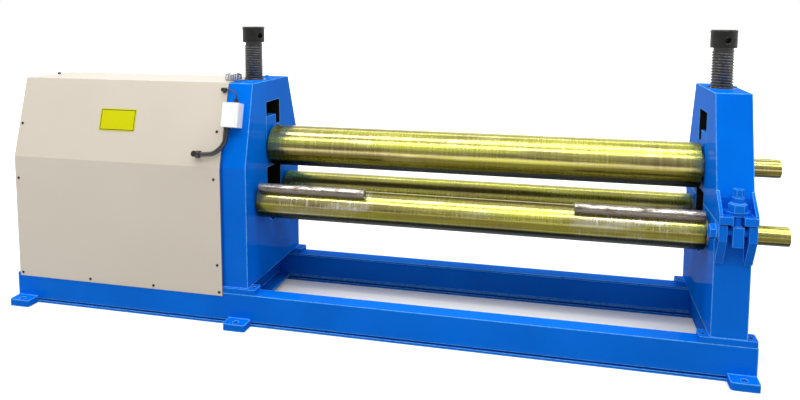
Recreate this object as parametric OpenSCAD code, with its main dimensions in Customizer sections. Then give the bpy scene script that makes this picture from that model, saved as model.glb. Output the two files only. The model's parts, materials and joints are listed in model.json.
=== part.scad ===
// Three-roll plate bending machine: a welded bed, two box stands, a screw-down top roll
// between two driven bottom rolls, and a sheet-metal drive cabinet on the left.
// X runs along the rolls, Y from front to rear and Z up. The origin lies on the floor
// at the centre of the four corner anchor holes.

/* [Bed] */
// Length of the two bed rails
bed_l = 3450; // [3200:10:3800]
// Depth of the bed over both rails
bed_w = 660; // [620:2:760]
// Width of one rail
rail_w = 80; // [70:1:100]
// Height of the rails above the floor
rail_h = 150; // [120:1:200]
// Thickness of the rail plates
rail_wall = 10; // [8:0.5:12]
// Thickness of the flat under each rail
rail_flat_t = 12; // [10:0.5:16]
// Height of the open joint between flat and rail
rail_joint_h = 10; // [6:0.5:12]
// Length of a foot plate
foot_l = 110; // [90:1:140]
// How far a foot plate stands out from the rail
foot_out = 65; // [55:1:90]
// Thickness of a foot plate
foot_t = 33; // [20:1:40]
// Diameter of an anchor hole
anchor_d = 26; // [18:1:30]
// Distance of the anchor holes from the rail face
anchor_out = 38; // [30:1:45]
// Place of the middle foot along the bed
mid_foot_x = -503; // [-600:1:-400]
// Height of a cross member
cross_h = 90; // [70:1:100]
// Width of a cross member's flange
cross_w = 85; // [60:1:100]

/* [Stands] */
// Clear width between the stands
stand_gap = 2010; // [1800:1:2010]
// Place of the left stand's inner face
left_face_x = -464; // [-480:1:-450]
// Width of the left stand
left_stand_w = 198; // [186:1:204]
// Width of the right stand
right_stand_w = 138; // [134:1:138]
// Height of the left stand's top above the floor
left_stand_h = 1132; // [1120:1:1160]
// Height of the right stand's top above the floor
right_stand_h = 1146; // [1130:1:1160]
// How far the left stand's faces lie behind the rail faces
left_set_back = 13; // [8:1:20]
// How far the right stand's faces lie behind the rail faces
right_set_back = 3; // [0:1:12]
// Height of the bend in the front face
knee_h = 748; // [735:1:780]
// Height of the bend in the rear face
rear_knee_h = 800; // [760:1:840]
// Front edge of the stand tops
top_front_y = -223; // [-240:1:-200]
// Rear edge of the stand tops
top_back_y = 194; // [180:1:230]
// Thickness of the stand's side plates
side_t = 22; // [18:1:28]
// Thickness of the stand's front and rear plates
stand_wall = 12; // [8:1:16]
// Height of the solid head that holds the screw nut
head_h = 80; // [70:1:100]
// Thickness of the base bars under a stand
base_t = 26; // [20:1:32]
// Depth of the base bars
base_d = 70; // [60:1:78]
// How far the base bars stand out as bolting tabs
tab_out = 41; // [36:1:45]
// Height at which the right stand parts
split_h = 656; // [645:1:660]

/* [Slots and blocks] */
// Width of the slot that guides a bearing block
slot_w = 160; // [150:1:166]
// Centre height of the slot's round lower end
slot_low_h = 500; // [490:1:510]
// Height of the left slot's upper end
left_slot_top_h = 1027; // [1020:1:1035]
// Height of the right slot's upper end
right_slot_top_h = 1045; // [1030:1:1055]
// Thickness of the guide cheeks beside the slot
cheek_t = 14; // [10:1:18]
// Clearance of a sliding block on each side
block_fit = 0.3; // [0.1:0.05:0.5]
// Height of a bearing block below the roll axis
block_low_h = 105; // [90:1:115]
// Height of the left block's top above the roll axis
left_block_up = 100; // [92:1:102]
// Height of the right block's top above the roll axis
right_block_up = 100; // [92:1:104]
// Height of the hooked lug on a block
lug_h = 50; // [46:1:52]

/* [Rolls] */
// Diameter of the top roll
top_roll_d = 198; // [180:1:204]
// Diameter of the bottom rolls
bottom_roll_d = 153; // [140:1:160]
// Distance between the bottom roll axes
bottom_pitch = 320; // [316:1:324]
// Height of the bottom roll axes
bottom_axis_h = 557; // [550:1:565]
// Height of the top roll axis at rest
top_axis_h = 804; // [800:1:815]
// Diameter of the roll journals
journal_d = 82; // [74:1:86]
// Free space between a roll end and the stand
roll_end_gap = 10; // [8:0.5:14]
// How far the long shaft ends stand out at the right
shaft_out = 175; // [120:1:220]
// Diameter of the turned-down shaft ends outside the right stand
shaft_end_d = 81; // [70:0.5:81.5]
// Wall of the bearing bushes
bush_wall = 9; // [6:0.5:10]
// Running clearance of a journal in its bush
run_fit = 0.05; // [0.02:0.01:0.1]
// Wall of the bearing tube in a stand
tube_wall = 8; // [5:0.5:8]

/* [Pressure screws] */
// Outer diameter of the screw thread
screw_d = 91; // [84:1:94]
// Pitch of the thread
thread_pitch = 12; // [10:1:16]
// Depth of the thread
thread_depth = 5; // [3:0.5:6]
// Height of the head collar's underside at rest
cap_low_h = 1318; // [1314:1:1360]
// Diameter of the head collar
cap_d = 108; // [104:1:120]
// Height of the head collar
cap_h = 76; // [66:1:90]
// Diameter of the tommy bar holes
tommy_hole_d = 28; // [20:1:32]
// Direction of the left collar's holes at rest
left_hole_turn = -27; // [-90:1:90]
// Direction of the right collar's holes at rest
right_hole_turn = -83; // [-90:1:90]
// Wall of the bronze nut
nut_wall = 11; // [8:0.5:14]

/* [End clamp] */
// Thickness of the slotted plate
clamp_plate_t = 30; // [24:1:34]
// How far the slotted plate stands out
clamp_plate_out = 72; // [68:1:85]
// Diameter of the eye bolt
eye_bolt_d = 36; // [30:1:38]
// Thickness of a clevis ear
ear_t = 30; // [24:1:32]
// Diameter of the clevis pin
clevis_pin_d = 30; // [24:1:32]
// Height of the clevis pin
clevis_pin_h = 622; // [616:1:623]
// Distance of the eye bolt from the stand face
eye_bolt_out = 36; // [35:1:38]
// Across-flats size of the clamp nut
clamp_nut_af = 60; // [56:1:62]

/* [Drive cabinet] */
// Left end of the cabinet
cabinet_x = -1708; // [-1716:1:-1700]
// How far the cabinet sheet laps over the left stand
cabinet_lap = 76; // [60:1:84]
// Rear edge of the cabinet top
cover_back_y = 110; // [90:1:140]
// Thickness of the cover sheets
sheet_t = 2; // [1.5:0.1:3]
// Height of the lower edge of the covers
cover_low_h = 135; // [125:1:148]
// Width of the data plate
data_plate_w = 195; // [150:1:220]
// Height of the data plate along the slope
data_plate_h = 108; // [80:1:120]
// Diameter of the fluted oil filler cap
oil_cap_d = 80; // [70:1:90]
// Height of the fluted oil filler cap
oil_cap_h = 40; // [30:1:50]

/* [Drive] */
// Gear module
gear_mod = 8; // [8:0.1:8.2]
// Teeth on each roll gear
gear_teeth = 35; // [34:1:36]
// Teeth on the drive pinion
pinion_teeth = 20; // [18:1:22]
// Face width of the gears
gear_w = 76; // [60:1:80]
// Diameter of the roll shaft under its gear
gear_seat_d = 72; // [60:1:74]
// Diameter of the gearbox output shaft
output_d = 60; // [50:1:70]
// Pitch diameter of the gearbox pulley
big_pulley_d = 240; // [200:1:270]
// Pitch diameter of the motor pulley
small_pulley_d = 110; // [90:1:130]
// Number of V-belts
belt_n = 3; // [2:1:4]
// Diameter of the motor body
motor_d = 210; // [180:1:220]
// Length of the motor body
motor_l = 290; // [250:1:300]

/* [Switch box] */
// Width of the switch box
box_w = 78; // [70:1:82]
// Height of the switch box
box_h = 114; // [100:1:124]
// Depth of the switch box
box_d = 63; // [56:1:70]
// Diameter of the flexible conduit
conduit_d = 22; // [18:1:26]
// Diameter of the sensor cable
cable_d = 7; // [5:0.5:9]

/* [Loose bars] */
// Diameter of the two loose bars
bar_d = 46; // [40:1:50]
// Length of the two loose bars
bar_l = 520; // [400:1:600]
// Angle of the bars ahead of the front roll's top
bar_angle = 36.5; // [34:0.5:45]

/* [Hidden] */
$fn = 96;

// Colours
blue = "#0162c8";
beige = "#c9c0b1";
steel = "#8f8c52";
dark_steel = "#3a3a38";
bronze = "#b08d57";
cast = "#5d6468";
white = "#fafafa";
yellow = "#e4e212";

// Clearances between pieces
seat_gap = 0.3;
half_w = bed_w / 2;
box_low = rail_flat_t + rail_joint_h;

// Stand places
left_outer_x = left_face_x - left_stand_w;
right_face_x = left_face_x + stand_gap;
right_outer_x = right_face_x + right_stand_w;
right_mid_x = right_face_x + right_stand_w / 2;
left_mid_x = left_outer_x + left_stand_w / 2;
body_low = rail_h + base_t;

// Profiles of the stands and the cabinet: half depth, height and rear edge of the top
left_profile = [half_w - left_set_back, left_stand_h, top_back_y];
right_profile = [half_w - right_set_back, right_stand_h, top_back_y];
cover_profile = [half_w, left_stand_h, cover_back_y];

// Lines of a profile p, moved inwards by t
function front_slope(p) = (top_front_y + p[0]) / (p[1] - knee_h);
function rear_slope(p) = (p[0] - p[2]) / (p[1] - rear_knee_h);
function slope_ang(p) = atan(front_slope(p));
function front_run(p, t) = t / cos(slope_ang(p));
function rear_run(p, t) = t / cos(atan(rear_slope(p)));
function front_y(p, z, t = 0) = z < knee_h ? t - p[0]
    : (z - knee_h) * front_slope(p) + front_run(p, t) - p[0];
function rear_y(p, z, t = 0) = z < rear_knee_h ? p[0] - t
    : p[0] - (z - rear_knee_h) * rear_slope(p) - rear_run(p, t);
function front_knee(p, t) = knee_h + (t - front_run(p, t)) / front_slope(p);
function rear_knee(p, t) = rear_knee_h + (t - rear_run(p, t)) / rear_slope(p);
function front_line(p, t, z0, z1) = concat([[t - p[0], z0]],
    z1 > knee_h && z0 < knee_h ? [[t - p[0], front_knee(p, t)]] : [],
    [[front_y(p, z1, t), z1]]);
function rear_line(p, t, z0, z1) = concat([[rear_y(p, z1, t), z1]],
    z1 > rear_knee_h && z0 < rear_knee_h ? [[p[0] - t, rear_knee(p, t)]] : [],
    [[p[0] - t, z0]]);
function outline(p, t, z0, z1) = concat(front_line(p, t, z0, z1), rear_line(p, t, z0, z1));
function head_outline(p, z0, z1) = [[front_y(p, z0), z0], [front_y(p, z1), z1],
    [rear_y(p, z1), z1], [rear_y(p, z0), z0]];

// Flat lock bolts in the stand tops, low enough to pass under the lowered screw caps
lock_bolt_af = 19;
lock_bolt_h = 6;
left_lock_x = left_stand_w / 2 - 32;
right_lock_x = right_stand_w / 2 - 14;

// Rolls
barrel_x0 = left_face_x + roll_end_gap;
barrel_x1 = right_face_x - roll_end_gap;
journal_r = journal_d / 2;
shaft_end_r = min(shaft_end_d, journal_d - 1) / 2;
shaft_step_x = right_outer_x + 3;
shaft_end_x = right_outer_x + shaft_out;
rear_shaft_end_x = right_outer_x + 16;
front_roll_y = -bottom_pitch / 2;
rear_roll_y = bottom_pitch / 2;
bush_r = journal_r + bush_wall;
tube_r = bush_r + tube_wall;
flange_r = bush_r + tube_wall;
thrust_gap = 0.5;

// Bearing blocks, which stand back a little from the stand faces
block_inset = 2;
block_low = top_axis_h - block_low_h;
block_w = slot_w - 2 * block_fit;
lug_front = 6 - slot_w / 2;
lug_back = 36;
tee_r = 32;
neck_r = 22;
tee_t = 15;
tee_fit = 0.5;
tee_up = 8;
left_block_top = top_axis_h + left_block_up;
right_block_top = top_axis_h + right_block_up;

// Pressure screws
screw_r = screw_d / 2;
thread_up = lug_h + 6;
stub_r = 30;
stub_h = cap_h - 11;
tommy_h = 32;
nut_r = screw_r + nut_wall;

// Drive train
gear_r = gear_mod * gear_teeth / 2;
pinion_r = gear_mod * pinion_teeth / 2;
gear_centres = gear_r + pinion_r;
pinion_h = bottom_axis_h - sqrt(gear_centres * gear_centres - rear_roll_y * rear_roll_y);
mesh_ang = atan2(bottom_axis_h - pinion_h, rear_roll_y);
gear_space = 42;
gear_x1 = left_outer_x - gear_space;
gear_x0 = gear_x1 - gear_w;
gear_end = 14;
gearbox_gap = 130;
gearbox_l = 280;
gearbox_x1 = gear_x0 - gearbox_gap;
gearbox_x0 = gearbox_x1 - gearbox_l;
gearbox_half = 150;
gearbox_top = pinion_h + 160;
gearbox_wall = 14;
feet_t = 22;
plate_top = rail_h + 20;
gearbox_low = plate_top + feet_t;
input_y = 60;
input_h = pinion_h + 84;
input_d = 40;
belt_pitch_x = 20;
belt_w = 13.4;
belt_t = 10;
groove_fit = 0.3;
pulley_w = belt_n * belt_pitch_x + 8;
pulley_gap = 22;
pulley_x1 = gearbox_x0 - pulley_gap;
pulley_x0 = pulley_x1 - pulley_w;
big_r = big_pulley_d / 2;
small_r = small_pulley_d / 2;
motor_y = -150;
motor_h = plate_top + motor_d / 2 + 20;
motor_gap = 34;
motor_x1 = pulley_x0 - motor_gap;
motor_x0 = motor_x1 - motor_l;
motor_shaft_d = 38;
fan_l = 52;

// End clamp
bolt_y = -half_w - eye_bolt_out;
clamp_plate_low = split_h + 4;
clamp_plate_top = clamp_plate_low + clamp_plate_t;
clamp_w = right_stand_w + 2;
washer_t = 15;
washer_r = 50;
clamp_nut_h = 36;
lock_nut_h = 20;
stud_top = clamp_plate_top + 104;
eye_w = 39;
eye_deep = 32;
eye_rise = 28;
eye_drop = 50;
ear_drop = 134;

// Cabinet
cover_in = -seat_gap;
cover_out = -seat_gap - sheet_t;
cabinet_x1 = left_outer_x + cabinet_lap;
screw_head_r = 7;
screw_hole_r = 3.5;
// Front screws as [x, z]: the bottom row first, then the two side columns
low_screw_z = 152;
cover_screw_places = [[cabinet_x + 16, low_screw_z], [-1301, low_screw_z],
    [-951, low_screw_z], [cabinet_x1 - 17, low_screw_z], [cabinet_x + 16, 639],
    [cabinet_x1 - 24, 282], [cabinet_x1 - 33, 691], [cabinet_x1 - 34, 908],
    [cabinet_x + 16, 908]];
oil_neck_r = 18;
oil_cap_x = cabinet_x1 - oil_neck_r - 6;
oil_cap_y = top_front_y + 93;
data_plate_x = -1250;
data_plate_z = 891;
lift_screw = [cabinet_x + 16, -16];

// Switch box, on the slope of the left stand
box_x = left_face_x - 35 - box_w;
box_z = 982;
lid_d = 20;
gland_r = 13;
gland_l = 20;
low_gland_l = 14;
gland_depth = box_d - lid_d - conduit_d / 2 - 1;
cover_face = sheet_t + seat_gap;
top_gland_x = box_x + 52;
low_gland_x = box_x + 17;
conduit_entry = [-703, 803];
cable_entry = [cabinet_x1 - 15, 1098];
// Elbows on the cover: how far their sockets stand off the sheet and how long they are
elbow_out = 28;
elbow_l = 26;
small_elbow_out = 16;
small_elbow_l = 16;

// A point beside the slope of profile p: out from the face and along it from height z
function slope_point(p, x, z, out, along = 0) = let (a = slope_ang(p)) [x,
    front_y(p, z) + along * sin(a) - out * cos(a), z + along * cos(a) + out * sin(a)];
function box_point(x, along) = slope_point(left_profile, x, box_z, gland_depth, along);
function cover_point(place, out) = slope_point(cover_profile, place[0], place[1], out);

// Routes of the two leads, straight for one diameter where a gland or an elbow holds them
conduit_foot = box_h / 2 + low_gland_l + seat_gap;
conduit_end = cover_point(conduit_entry, cover_face + elbow_out)
    + [elbow_l + seat_gap, 0, 0];
conduit_route = [box_point(low_gland_x, -conduit_foot),
    box_point(low_gland_x, -conduit_foot - conduit_d), [-564, -318, 872], [-577, -325, 847],
    [-596, -332, 828], [-621, -338, 815], conduit_end + [conduit_d, 0, 0], conduit_end];
cable_foot = box_h / 2 + gland_l + seat_gap;
cable_end = cover_point(cable_entry, cover_face + small_elbow_out)
    + [small_elbow_l + seat_gap, 0, 0];
cable_route = [box_point(top_gland_x, cable_foot), box_point(top_gland_x, cable_foot + cable_d),
    [-527, -267, 1083], [-534, -262, 1093], [-544, -257, 1100], [-557, -253, 1103],
    cable_end + [cable_d, 0, 0], cable_end];

// Loose bars on the front roll
bar_ring = bottom_roll_d / 2 + seat_gap + bar_d / 2;
bar_y = front_roll_y - bar_ring * sin(bar_angle);
bar_h = bottom_axis_h + bar_ring * cos(bar_angle);

// Extrudes a drawing in Y and Z along X
module slab(x0, len) {
    translate([x0, 0, 0]) rotate([90, 0, 90]) linear_extrude(len) children();
}

// A round bar along X
module rod(x0, len, r, y, z) {
    translate([x0, y, z]) rotate([0, 90, 0]) cylinder(h = len, r = r);
}

// A ring along X
module ring(x0, len, r, bore, y, z) {
    difference() {
        rod(x0, len, r, y, z);
        rod(x0 - 1, len + 2, bore, y, z);
    }
}

// A hexagon prism along Z
module hexagon(af, h) {
    cylinder(h = h, r = af / sqrt(3), $fn = 6);
}

// A flat plate with round corners, centred in X and Y
module round_plate(l, w, t, r) {
    linear_extrude(t) {
        square([l - 2 * r, w], center = true);
        square([l, w - 2 * r], center = true);
        for (sx = [-1, 1], sy = [-1, 1])
            translate([sx * (l / 2 - r), sy * (w / 2 - r)]) circle(r = r, $fn = 32);
    }
}

// Places children on the slanted front of profile p at height z
module on_slope(p, x, z) {
    translate([x, front_y(p, z), z]) rotate([-slope_ang(p), 0, 0]) children();
}

// Section of a rail: box, open joint and flat; y grows towards the bed's middle
module rail_section() {
    web_inset = rail_wall;
    difference() {
        translate([0, box_low]) square([rail_w, rail_h - box_low]);
        translate([rail_wall, box_low + rail_wall])
            square([rail_w - 2 * rail_wall - web_inset, rail_h - box_low - 2 * rail_wall]);
        translate([rail_w - web_inset, box_low + 8])
            square([web_inset + 1, rail_h - box_low - 8 - rail_wall]);
    }
    translate([0.3 * rail_w, rail_flat_t]) square([0.4 * rail_w, rail_joint_h]);
    square([rail_w, rail_flat_t]);
}

module front_rail() {
    color(blue) translate([0, -half_w, 0]) slab(-bed_l / 2, bed_l) rail_section();
}

module rear_rail() {
    color(blue) mirror([0, 1, 0]) translate([0, -half_w, 0]) slab(-bed_l / 2, bed_l)
        rail_section();
}

// Each member is a flange with an upright web, welded between the rails
module cross_member(x, w) {
    web_y = half_w - rail_w + rail_wall;
    low = box_low + 8;
    translate([x, 0, 0]) rotate([90, 0, 0]) translate([0, 0, -web_y])
        linear_extrude(2 * web_y) {
            translate([0, low]) square([w, rail_wall]);
            translate([0, low]) square([rail_wall, cross_h]);
        }
}

module cross_members() {
    color(blue) {
        cross_member(-bed_l / 2 + 40, cross_w);
        cross_member(left_face_x - 19 - cross_w, cross_w);
        cross_member(right_face_x + 24, cross_w);
    }
}

module foot_plate() {
    difference() {
        union() {
            round_plate(foot_l, foot_out, foot_t, 12);
            translate([-foot_l / 2, 0, 0]) cube([foot_l, foot_out / 2, foot_t]);
        }
        translate([0, foot_out / 2 - anchor_out, -1]) cylinder(h = foot_t + 2, r = anchor_d / 2);
    }
}

module foot_plates() {
    corner_x = bed_l / 2 - foot_l / 2;
    color(blue) for (x = [-corner_x, mid_foot_x, corner_x], s = [0, 1])
        mirror([0, s, 0]) translate([x, -half_w - foot_out / 2, 0]) foot_plate();
}

module drive_base_plate() {
    plate_half = half_w - 45;
    color(blue) difference() {
        translate([cabinet_x + 30, -plate_half, rail_h])
            cube([gearbox_x1 + 30 - cabinet_x, 2 * plate_half, plate_top - rail_h]);
        // Drain and cable hole between the motor and the gearbox
        translate([motor_x1 + 20, 180, rail_h - 1]) cylinder(h = 40, r = 45);
    }
}

// The slot that a bearing block slides in, through the whole width of a stand
module slot_cut(x0, w, top) {
    rod(x0 - 1, w + 2, slot_w / 2, 0, slot_low_h);
    translate([x0 - 1, -slot_w / 2, slot_low_h]) cube([w + 2, slot_w, top - slot_low_h]);
}

// Box stand from z0 to z1: plates, guide cheeks and the tubes for the bottom rolls
module stand_box(p, x0, w, z0, z1, slot_top) {
    difference() {
        union() {
            difference() {
                slab(x0, w) polygon(outline(p, 0, z0, z1));
                slab(x0 + side_t, w - 2 * side_t)
                    polygon(outline(p, stand_wall, z0 - 1, z1 + 1));
            }
            for (s = [-1, 1])
                translate([x0 + 1, s * (slot_w + cheek_t) / 2 - cheek_t / 2,
                    max(z0, slot_low_h)])
                    cube([w - 2, cheek_t, z1 - max(z0, slot_low_h)]);
            if (z0 < slot_low_h) {
                rod(x0 + 1, w - 2, slot_w / 2 + cheek_t, 0, slot_low_h);
                for (y = [front_roll_y, rear_roll_y])
                    rod(x0 + 1, w - 2, tube_r, y, bottom_axis_h);
            }
        }
        slot_cut(x0, w, slot_top);
        if (z0 < slot_low_h)
            for (y = [front_roll_y, rear_roll_y]) rod(x0 - 1, w + 2, bush_r, y, bottom_axis_h);
    }
}

// Solid head of a stand, bored for the screw nut
module stand_head(p, x0, w, screw_x) {
    low = p[1] - head_h;
    difference() {
        slab(x0, w) polygon(head_outline(p, low, p[1]));
        translate([screw_x, 0, low - 1]) cylinder(h = head_h + 2, r = nut_r);
    }
}

module left_stand() {
    color(blue) {
        stand_box(left_profile, left_outer_x, left_stand_w, body_low, left_stand_h - head_h,
            left_slot_top_h);
        stand_head(left_profile, left_outer_x, left_stand_w, left_mid_x);
    }
}

rear_face = right_profile[0];
hinge_y = rear_face + 36;
hinge_r = 32;
hinge_pin_r = 15;
hinge_ear_t = 30;

// Hinge ear from the stand's rear face to the pin; s is 1 above the pin and -1 below it
module hinge_ear(x0, t, s) {
    reach = 70;
    difference() {
        union() {
            rod(x0, t, hinge_r, hinge_y, split_h);
            slab(x0, t) polygon([[rear_face, split_h], [rear_face, split_h + s * reach],
                [hinge_y + hinge_r * 0.8, split_h + s * hinge_r * 0.6], [hinge_y, split_h]]);
        }
        rod(x0 - 1, t + 2, hinge_pin_r + 0.1, hinge_y, split_h);
        slab(x0 - 1, t + 2) polygon([[rear_face - 40, split_h - 80], [rear_face, split_h - 80],
            [rear_face, split_h + 80], [rear_face - 40, split_h + 80]]);
    }
}

joint_plate_t = 16;

module right_lower_stand() {
    color(blue) {
        stand_box(right_profile, right_face_x, right_stand_w, body_low,
            split_h - joint_plate_t, right_slot_top_h);
        difference() {
            slab(right_face_x, right_stand_w)
                polygon(outline(right_profile, 0, split_h - joint_plate_t, split_h));
            slot_cut(right_face_x, right_stand_w, right_slot_top_h);
        }
        hinge_ear(right_face_x + 4, hinge_ear_t, -1);
        hinge_ear(right_outer_x - 4 - hinge_ear_t, hinge_ear_t, -1);
    }
}

module right_upper_housing() {
    ear_x = right_face_x + 5 + hinge_ear_t;
    color(blue) {
        stand_box(right_profile, right_face_x, right_stand_w, split_h + joint_plate_t,
            right_stand_h - head_h, right_slot_top_h);
        difference() {
            slab(right_face_x, right_stand_w)
                polygon(outline(right_profile, 0, split_h, split_h + joint_plate_t));
            slot_cut(right_face_x, right_stand_w, right_slot_top_h);
        }
        stand_head(right_profile, right_face_x, right_stand_w, right_mid_x);
        hinge_ear(ear_x, right_outer_x - 5 - hinge_ear_t - ear_x, 1);
    }
}

module hinge_pin() {
    color(dark_steel) {
        rod(right_face_x - 4, right_stand_w + 8, hinge_pin_r, hinge_y, split_h);
        for (x = [right_face_x - 12, right_outer_x + 4])
            rod(x, 8, hinge_pin_r + 6, hinge_y, split_h);
    }
}

tab_hole_r = 10;
tab_hole_h = 12;

// Front and rear base bar of a stand, with a counterbored hole in each tab
module base_bars(x0, w) {
    l = w + 2 * tab_out;
    for (s = [-1, 1]) difference() {
        translate([x0 + w / 2, s * (half_w - base_d / 2), rail_h])
            round_plate(l, base_d, base_t, 9);
        for (x = [x0 - tab_out / 2, x0 + w + tab_out / 2])
            translate([x, s * (half_w - base_d / 2), body_low - tab_hole_h])
                cylinder(h = tab_hole_h + 1, r = tab_hole_r);
    }
}

module left_base_bars() {
    color(blue) base_bars(left_outer_x, left_stand_w);
}

module right_base_bars() {
    color(blue) base_bars(right_face_x, right_stand_w);
}

// Socket screws that sink into the tabs
module base_bolts() {
    head_top = 10;
    bolts = [left_outer_x - tab_out / 2, left_face_x + tab_out / 2,
        right_face_x - tab_out / 2, right_outer_x + tab_out / 2];
    color(dark_steel) for (x = bolts, s = [-1, 1])
        translate([x, s * (half_w - base_d / 2), body_low - tab_hole_h]) difference() {
            cylinder(h = head_top, r = tab_hole_r - seat_gap);
            translate([0, 0, head_top - 6]) hexagon(8, 7);
        }
}

module screw_nut(x, top) {
    color(bronze) translate([x, 0, top - head_h]) difference() {
        cylinder(h = head_h, r = nut_r);
        translate([0, 0, -1]) cylinder(h = head_h + 2, r = screw_r + run_fit);
    }
}

module left_screw_nut() {
    screw_nut(left_mid_x, left_stand_h);
}

module right_screw_nut() {
    screw_nut(right_mid_x, right_stand_h);
}

// Small hexagon bolts on the stand tops that lock the nuts
module lock_bolts(x, top, places) {
    for (q = places) translate([x + q[0], q[1], top]) hexagon(lock_bolt_af, lock_bolt_h);
}

module head_bolts() {
    color(dark_steel) {
        lock_bolts(left_mid_x, left_stand_h, [[left_lock_x, top_front_y + 45],
            [left_lock_x, 15], [-5, top_back_y - 34]]);
        lock_bolts(right_mid_x, right_stand_h, [[-right_lock_x, 15], [right_lock_x, 22],
            [2, top_back_y - 24]]);
    }
}

// Flanged bronze bush; the flange lies on the stand's or block's inner face
module flanged_bush(x0, len, face, y, z, flange_t) {
    flange_x = face > 0 ? x0 + len : x0 - flange_t;
    difference() {
        union() {
            rod(x0, len, bush_r, y, z);
            rod(flange_x, flange_t, flange_r, y, z);
        }
        rod(min(x0, flange_x) - 1, len + flange_t + 2, journal_r + run_fit, y, z);
    }
}

module bottom_bushes_left() {
    color(bronze) for (y = [front_roll_y, rear_roll_y])
        flanged_bush(left_outer_x, left_stand_w, 1, y, bottom_axis_h, roll_end_gap - thrust_gap);
}

module bottom_bushes_right() {
    color(bronze) for (y = [front_roll_y, rear_roll_y])
        flanged_bush(right_face_x, right_stand_w, -1, y, bottom_axis_h,
            roll_end_gap - thrust_gap);
}

// Sliding block with a lug on top; the lug's T-slot is open to the rear
module bearing_block(x0, w, top) {
    head_run = tee_r + tee_fit;
    neck_run = neck_r + 2;
    difference() {
        union() {
            translate([x0, -block_w / 2, block_low]) cube([w, block_w, top - block_low]);
            translate([x0, lug_front, top - 1]) cube([w, lug_back - lug_front, lug_h + 1]);
        }
        rod(x0 - 1, w + 2, bush_r, 0, top_axis_h);
        translate([x0 + w / 2, 0, top + tee_up - tee_fit]) {
            cylinder(h = tee_t + 2 * tee_fit, r = head_run);
            translate([-head_run, 0, 0]) cube([2 * head_run, lug_back + 1, tee_t + 2 * tee_fit]);
            cylinder(h = lug_h, r = neck_run);
            translate([-neck_run, 0, 0]) cube([2 * neck_run, lug_back + 1, lug_h]);
        }
    }
}

module left_bearing_block() {
    color(blue) bearing_block(left_outer_x + block_inset, left_stand_w - 2 * block_inset,
        left_block_top);
}

module right_bearing_block() {
    color(blue) bearing_block(right_face_x + block_inset, right_stand_w - 2 * block_inset,
        right_block_top);
}

module top_bushes() {
    flange_t = roll_end_gap + block_inset - thrust_gap;
    color(bronze) {
        flanged_bush(left_outer_x + block_inset, left_stand_w - 2 * block_inset, 1, 0,
            top_axis_h, flange_t);
        flanged_bush(right_face_x + block_inset, right_stand_w - 2 * block_inset, -1, 0,
            top_axis_h, flange_t);
    }
}

// Screw: T-head, neck, thread with a stub for the head collar
module pressure_screw(x, block_top) {
    thread_low = block_top + thread_up;
    tee_low = block_top + tee_up;
    thread_l = cap_low_h - thread_low;
    ribs = floor(thread_l / thread_pitch);
    root = screw_r - thread_depth;
    flank = thread_pitch / 6;
    edge = [for (i = [0 : ribs - 1], p = [[0, root], [flank, screw_r],
        [thread_pitch / 2, screw_r], [thread_pitch / 2 + flank, root]])
        [p[1], thread_low + i * thread_pitch + p[0]]];
    color(dark_steel) translate([x, 0, 0]) {
        rotate_extrude() polygon(concat([[0, thread_low]], edge,
            [[root, cap_low_h], [0, cap_low_h]]));
        translate([0, 0, tee_low]) cylinder(h = tee_t, r = tee_r);
        translate([0, 0, tee_low + tee_t - 1]) cylinder(h = thread_low - tee_low - tee_t + 2,
            r = neck_r);
        translate([0, 0, cap_low_h - 1]) cylinder(h = stub_h + 1, r = stub_r);
    }
}

module left_pressure_screw() {
    pressure_screw(left_mid_x, left_block_top);
}

module right_pressure_screw() {
    pressure_screw(right_mid_x, right_block_top);
}

// Head collar with two holes for a tommy bar, in the direction turn
module screw_cap(x, turn) {
    r = cap_d / 2;
    edge = 4;
    color(dark_steel) translate([x, 0, cap_low_h]) difference() {
        rotate_extrude() polygon([[0, 0], [r, 0], [r, cap_h - edge], [r - edge, cap_h],
            [0, cap_h]]);
        translate([0, 0, -1]) cylinder(h = stub_h + 1, r = stub_r);
        for (a = [0, 180]) rotate([0, 0, turn + a]) translate([stub_r + 2, 0, tommy_h])
            rotate([0, 90, 0]) cylinder(h = r, r = tommy_hole_d / 2);
    }
}

module left_screw_cap() {
    screw_cap(left_mid_x, left_hole_turn);
}

module right_screw_cap() {
    screw_cap(right_mid_x, right_hole_turn);
}

// Roll with chamfered barrel and journals, turned from one bar
module roll_body(d, y, z, x0, x1) {
    c = 3;
    r = d / 2;
    e = 2;
    translate([0, y, z]) rotate([0, 90, 0]) rotate_extrude() polygon([
        [0, x0], [journal_r - e, x0], [journal_r, x0 + e], [journal_r, barrel_x0],
        [r - c, barrel_x0], [r, barrel_x0 + c], [r, barrel_x1 - c], [r - c, barrel_x1],
        [journal_r, barrel_x1], [journal_r, shaft_step_x], [shaft_end_r, shaft_step_x],
        [shaft_end_r, x1 - e], [shaft_end_r - e, x1], [0, x1]]);
}

// Seat for a gear at the left end of a bottom roll
module gear_seat(y) {
    seat_x = gear_x0 - gear_end;
    rod(seat_x, gear_x1 + 6 - seat_x, gear_seat_d / 2, y, bottom_axis_h);
}

module top_roll() {
    color(steel) roll_body(top_roll_d, 0, top_axis_h, left_outer_x - 14, shaft_end_x);
}

module front_bottom_roll() {
    color(steel) {
        roll_body(bottom_roll_d, front_roll_y, bottom_axis_h, gear_x1 + 5, shaft_end_x);
        gear_seat(front_roll_y);
    }
}

module rear_bottom_roll() {
    color(steel) {
        roll_body(bottom_roll_d, rear_roll_y, bottom_axis_h, gear_x1 + 5, rear_shaft_end_x);
        gear_seat(rear_roll_y);
    }
}

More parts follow.
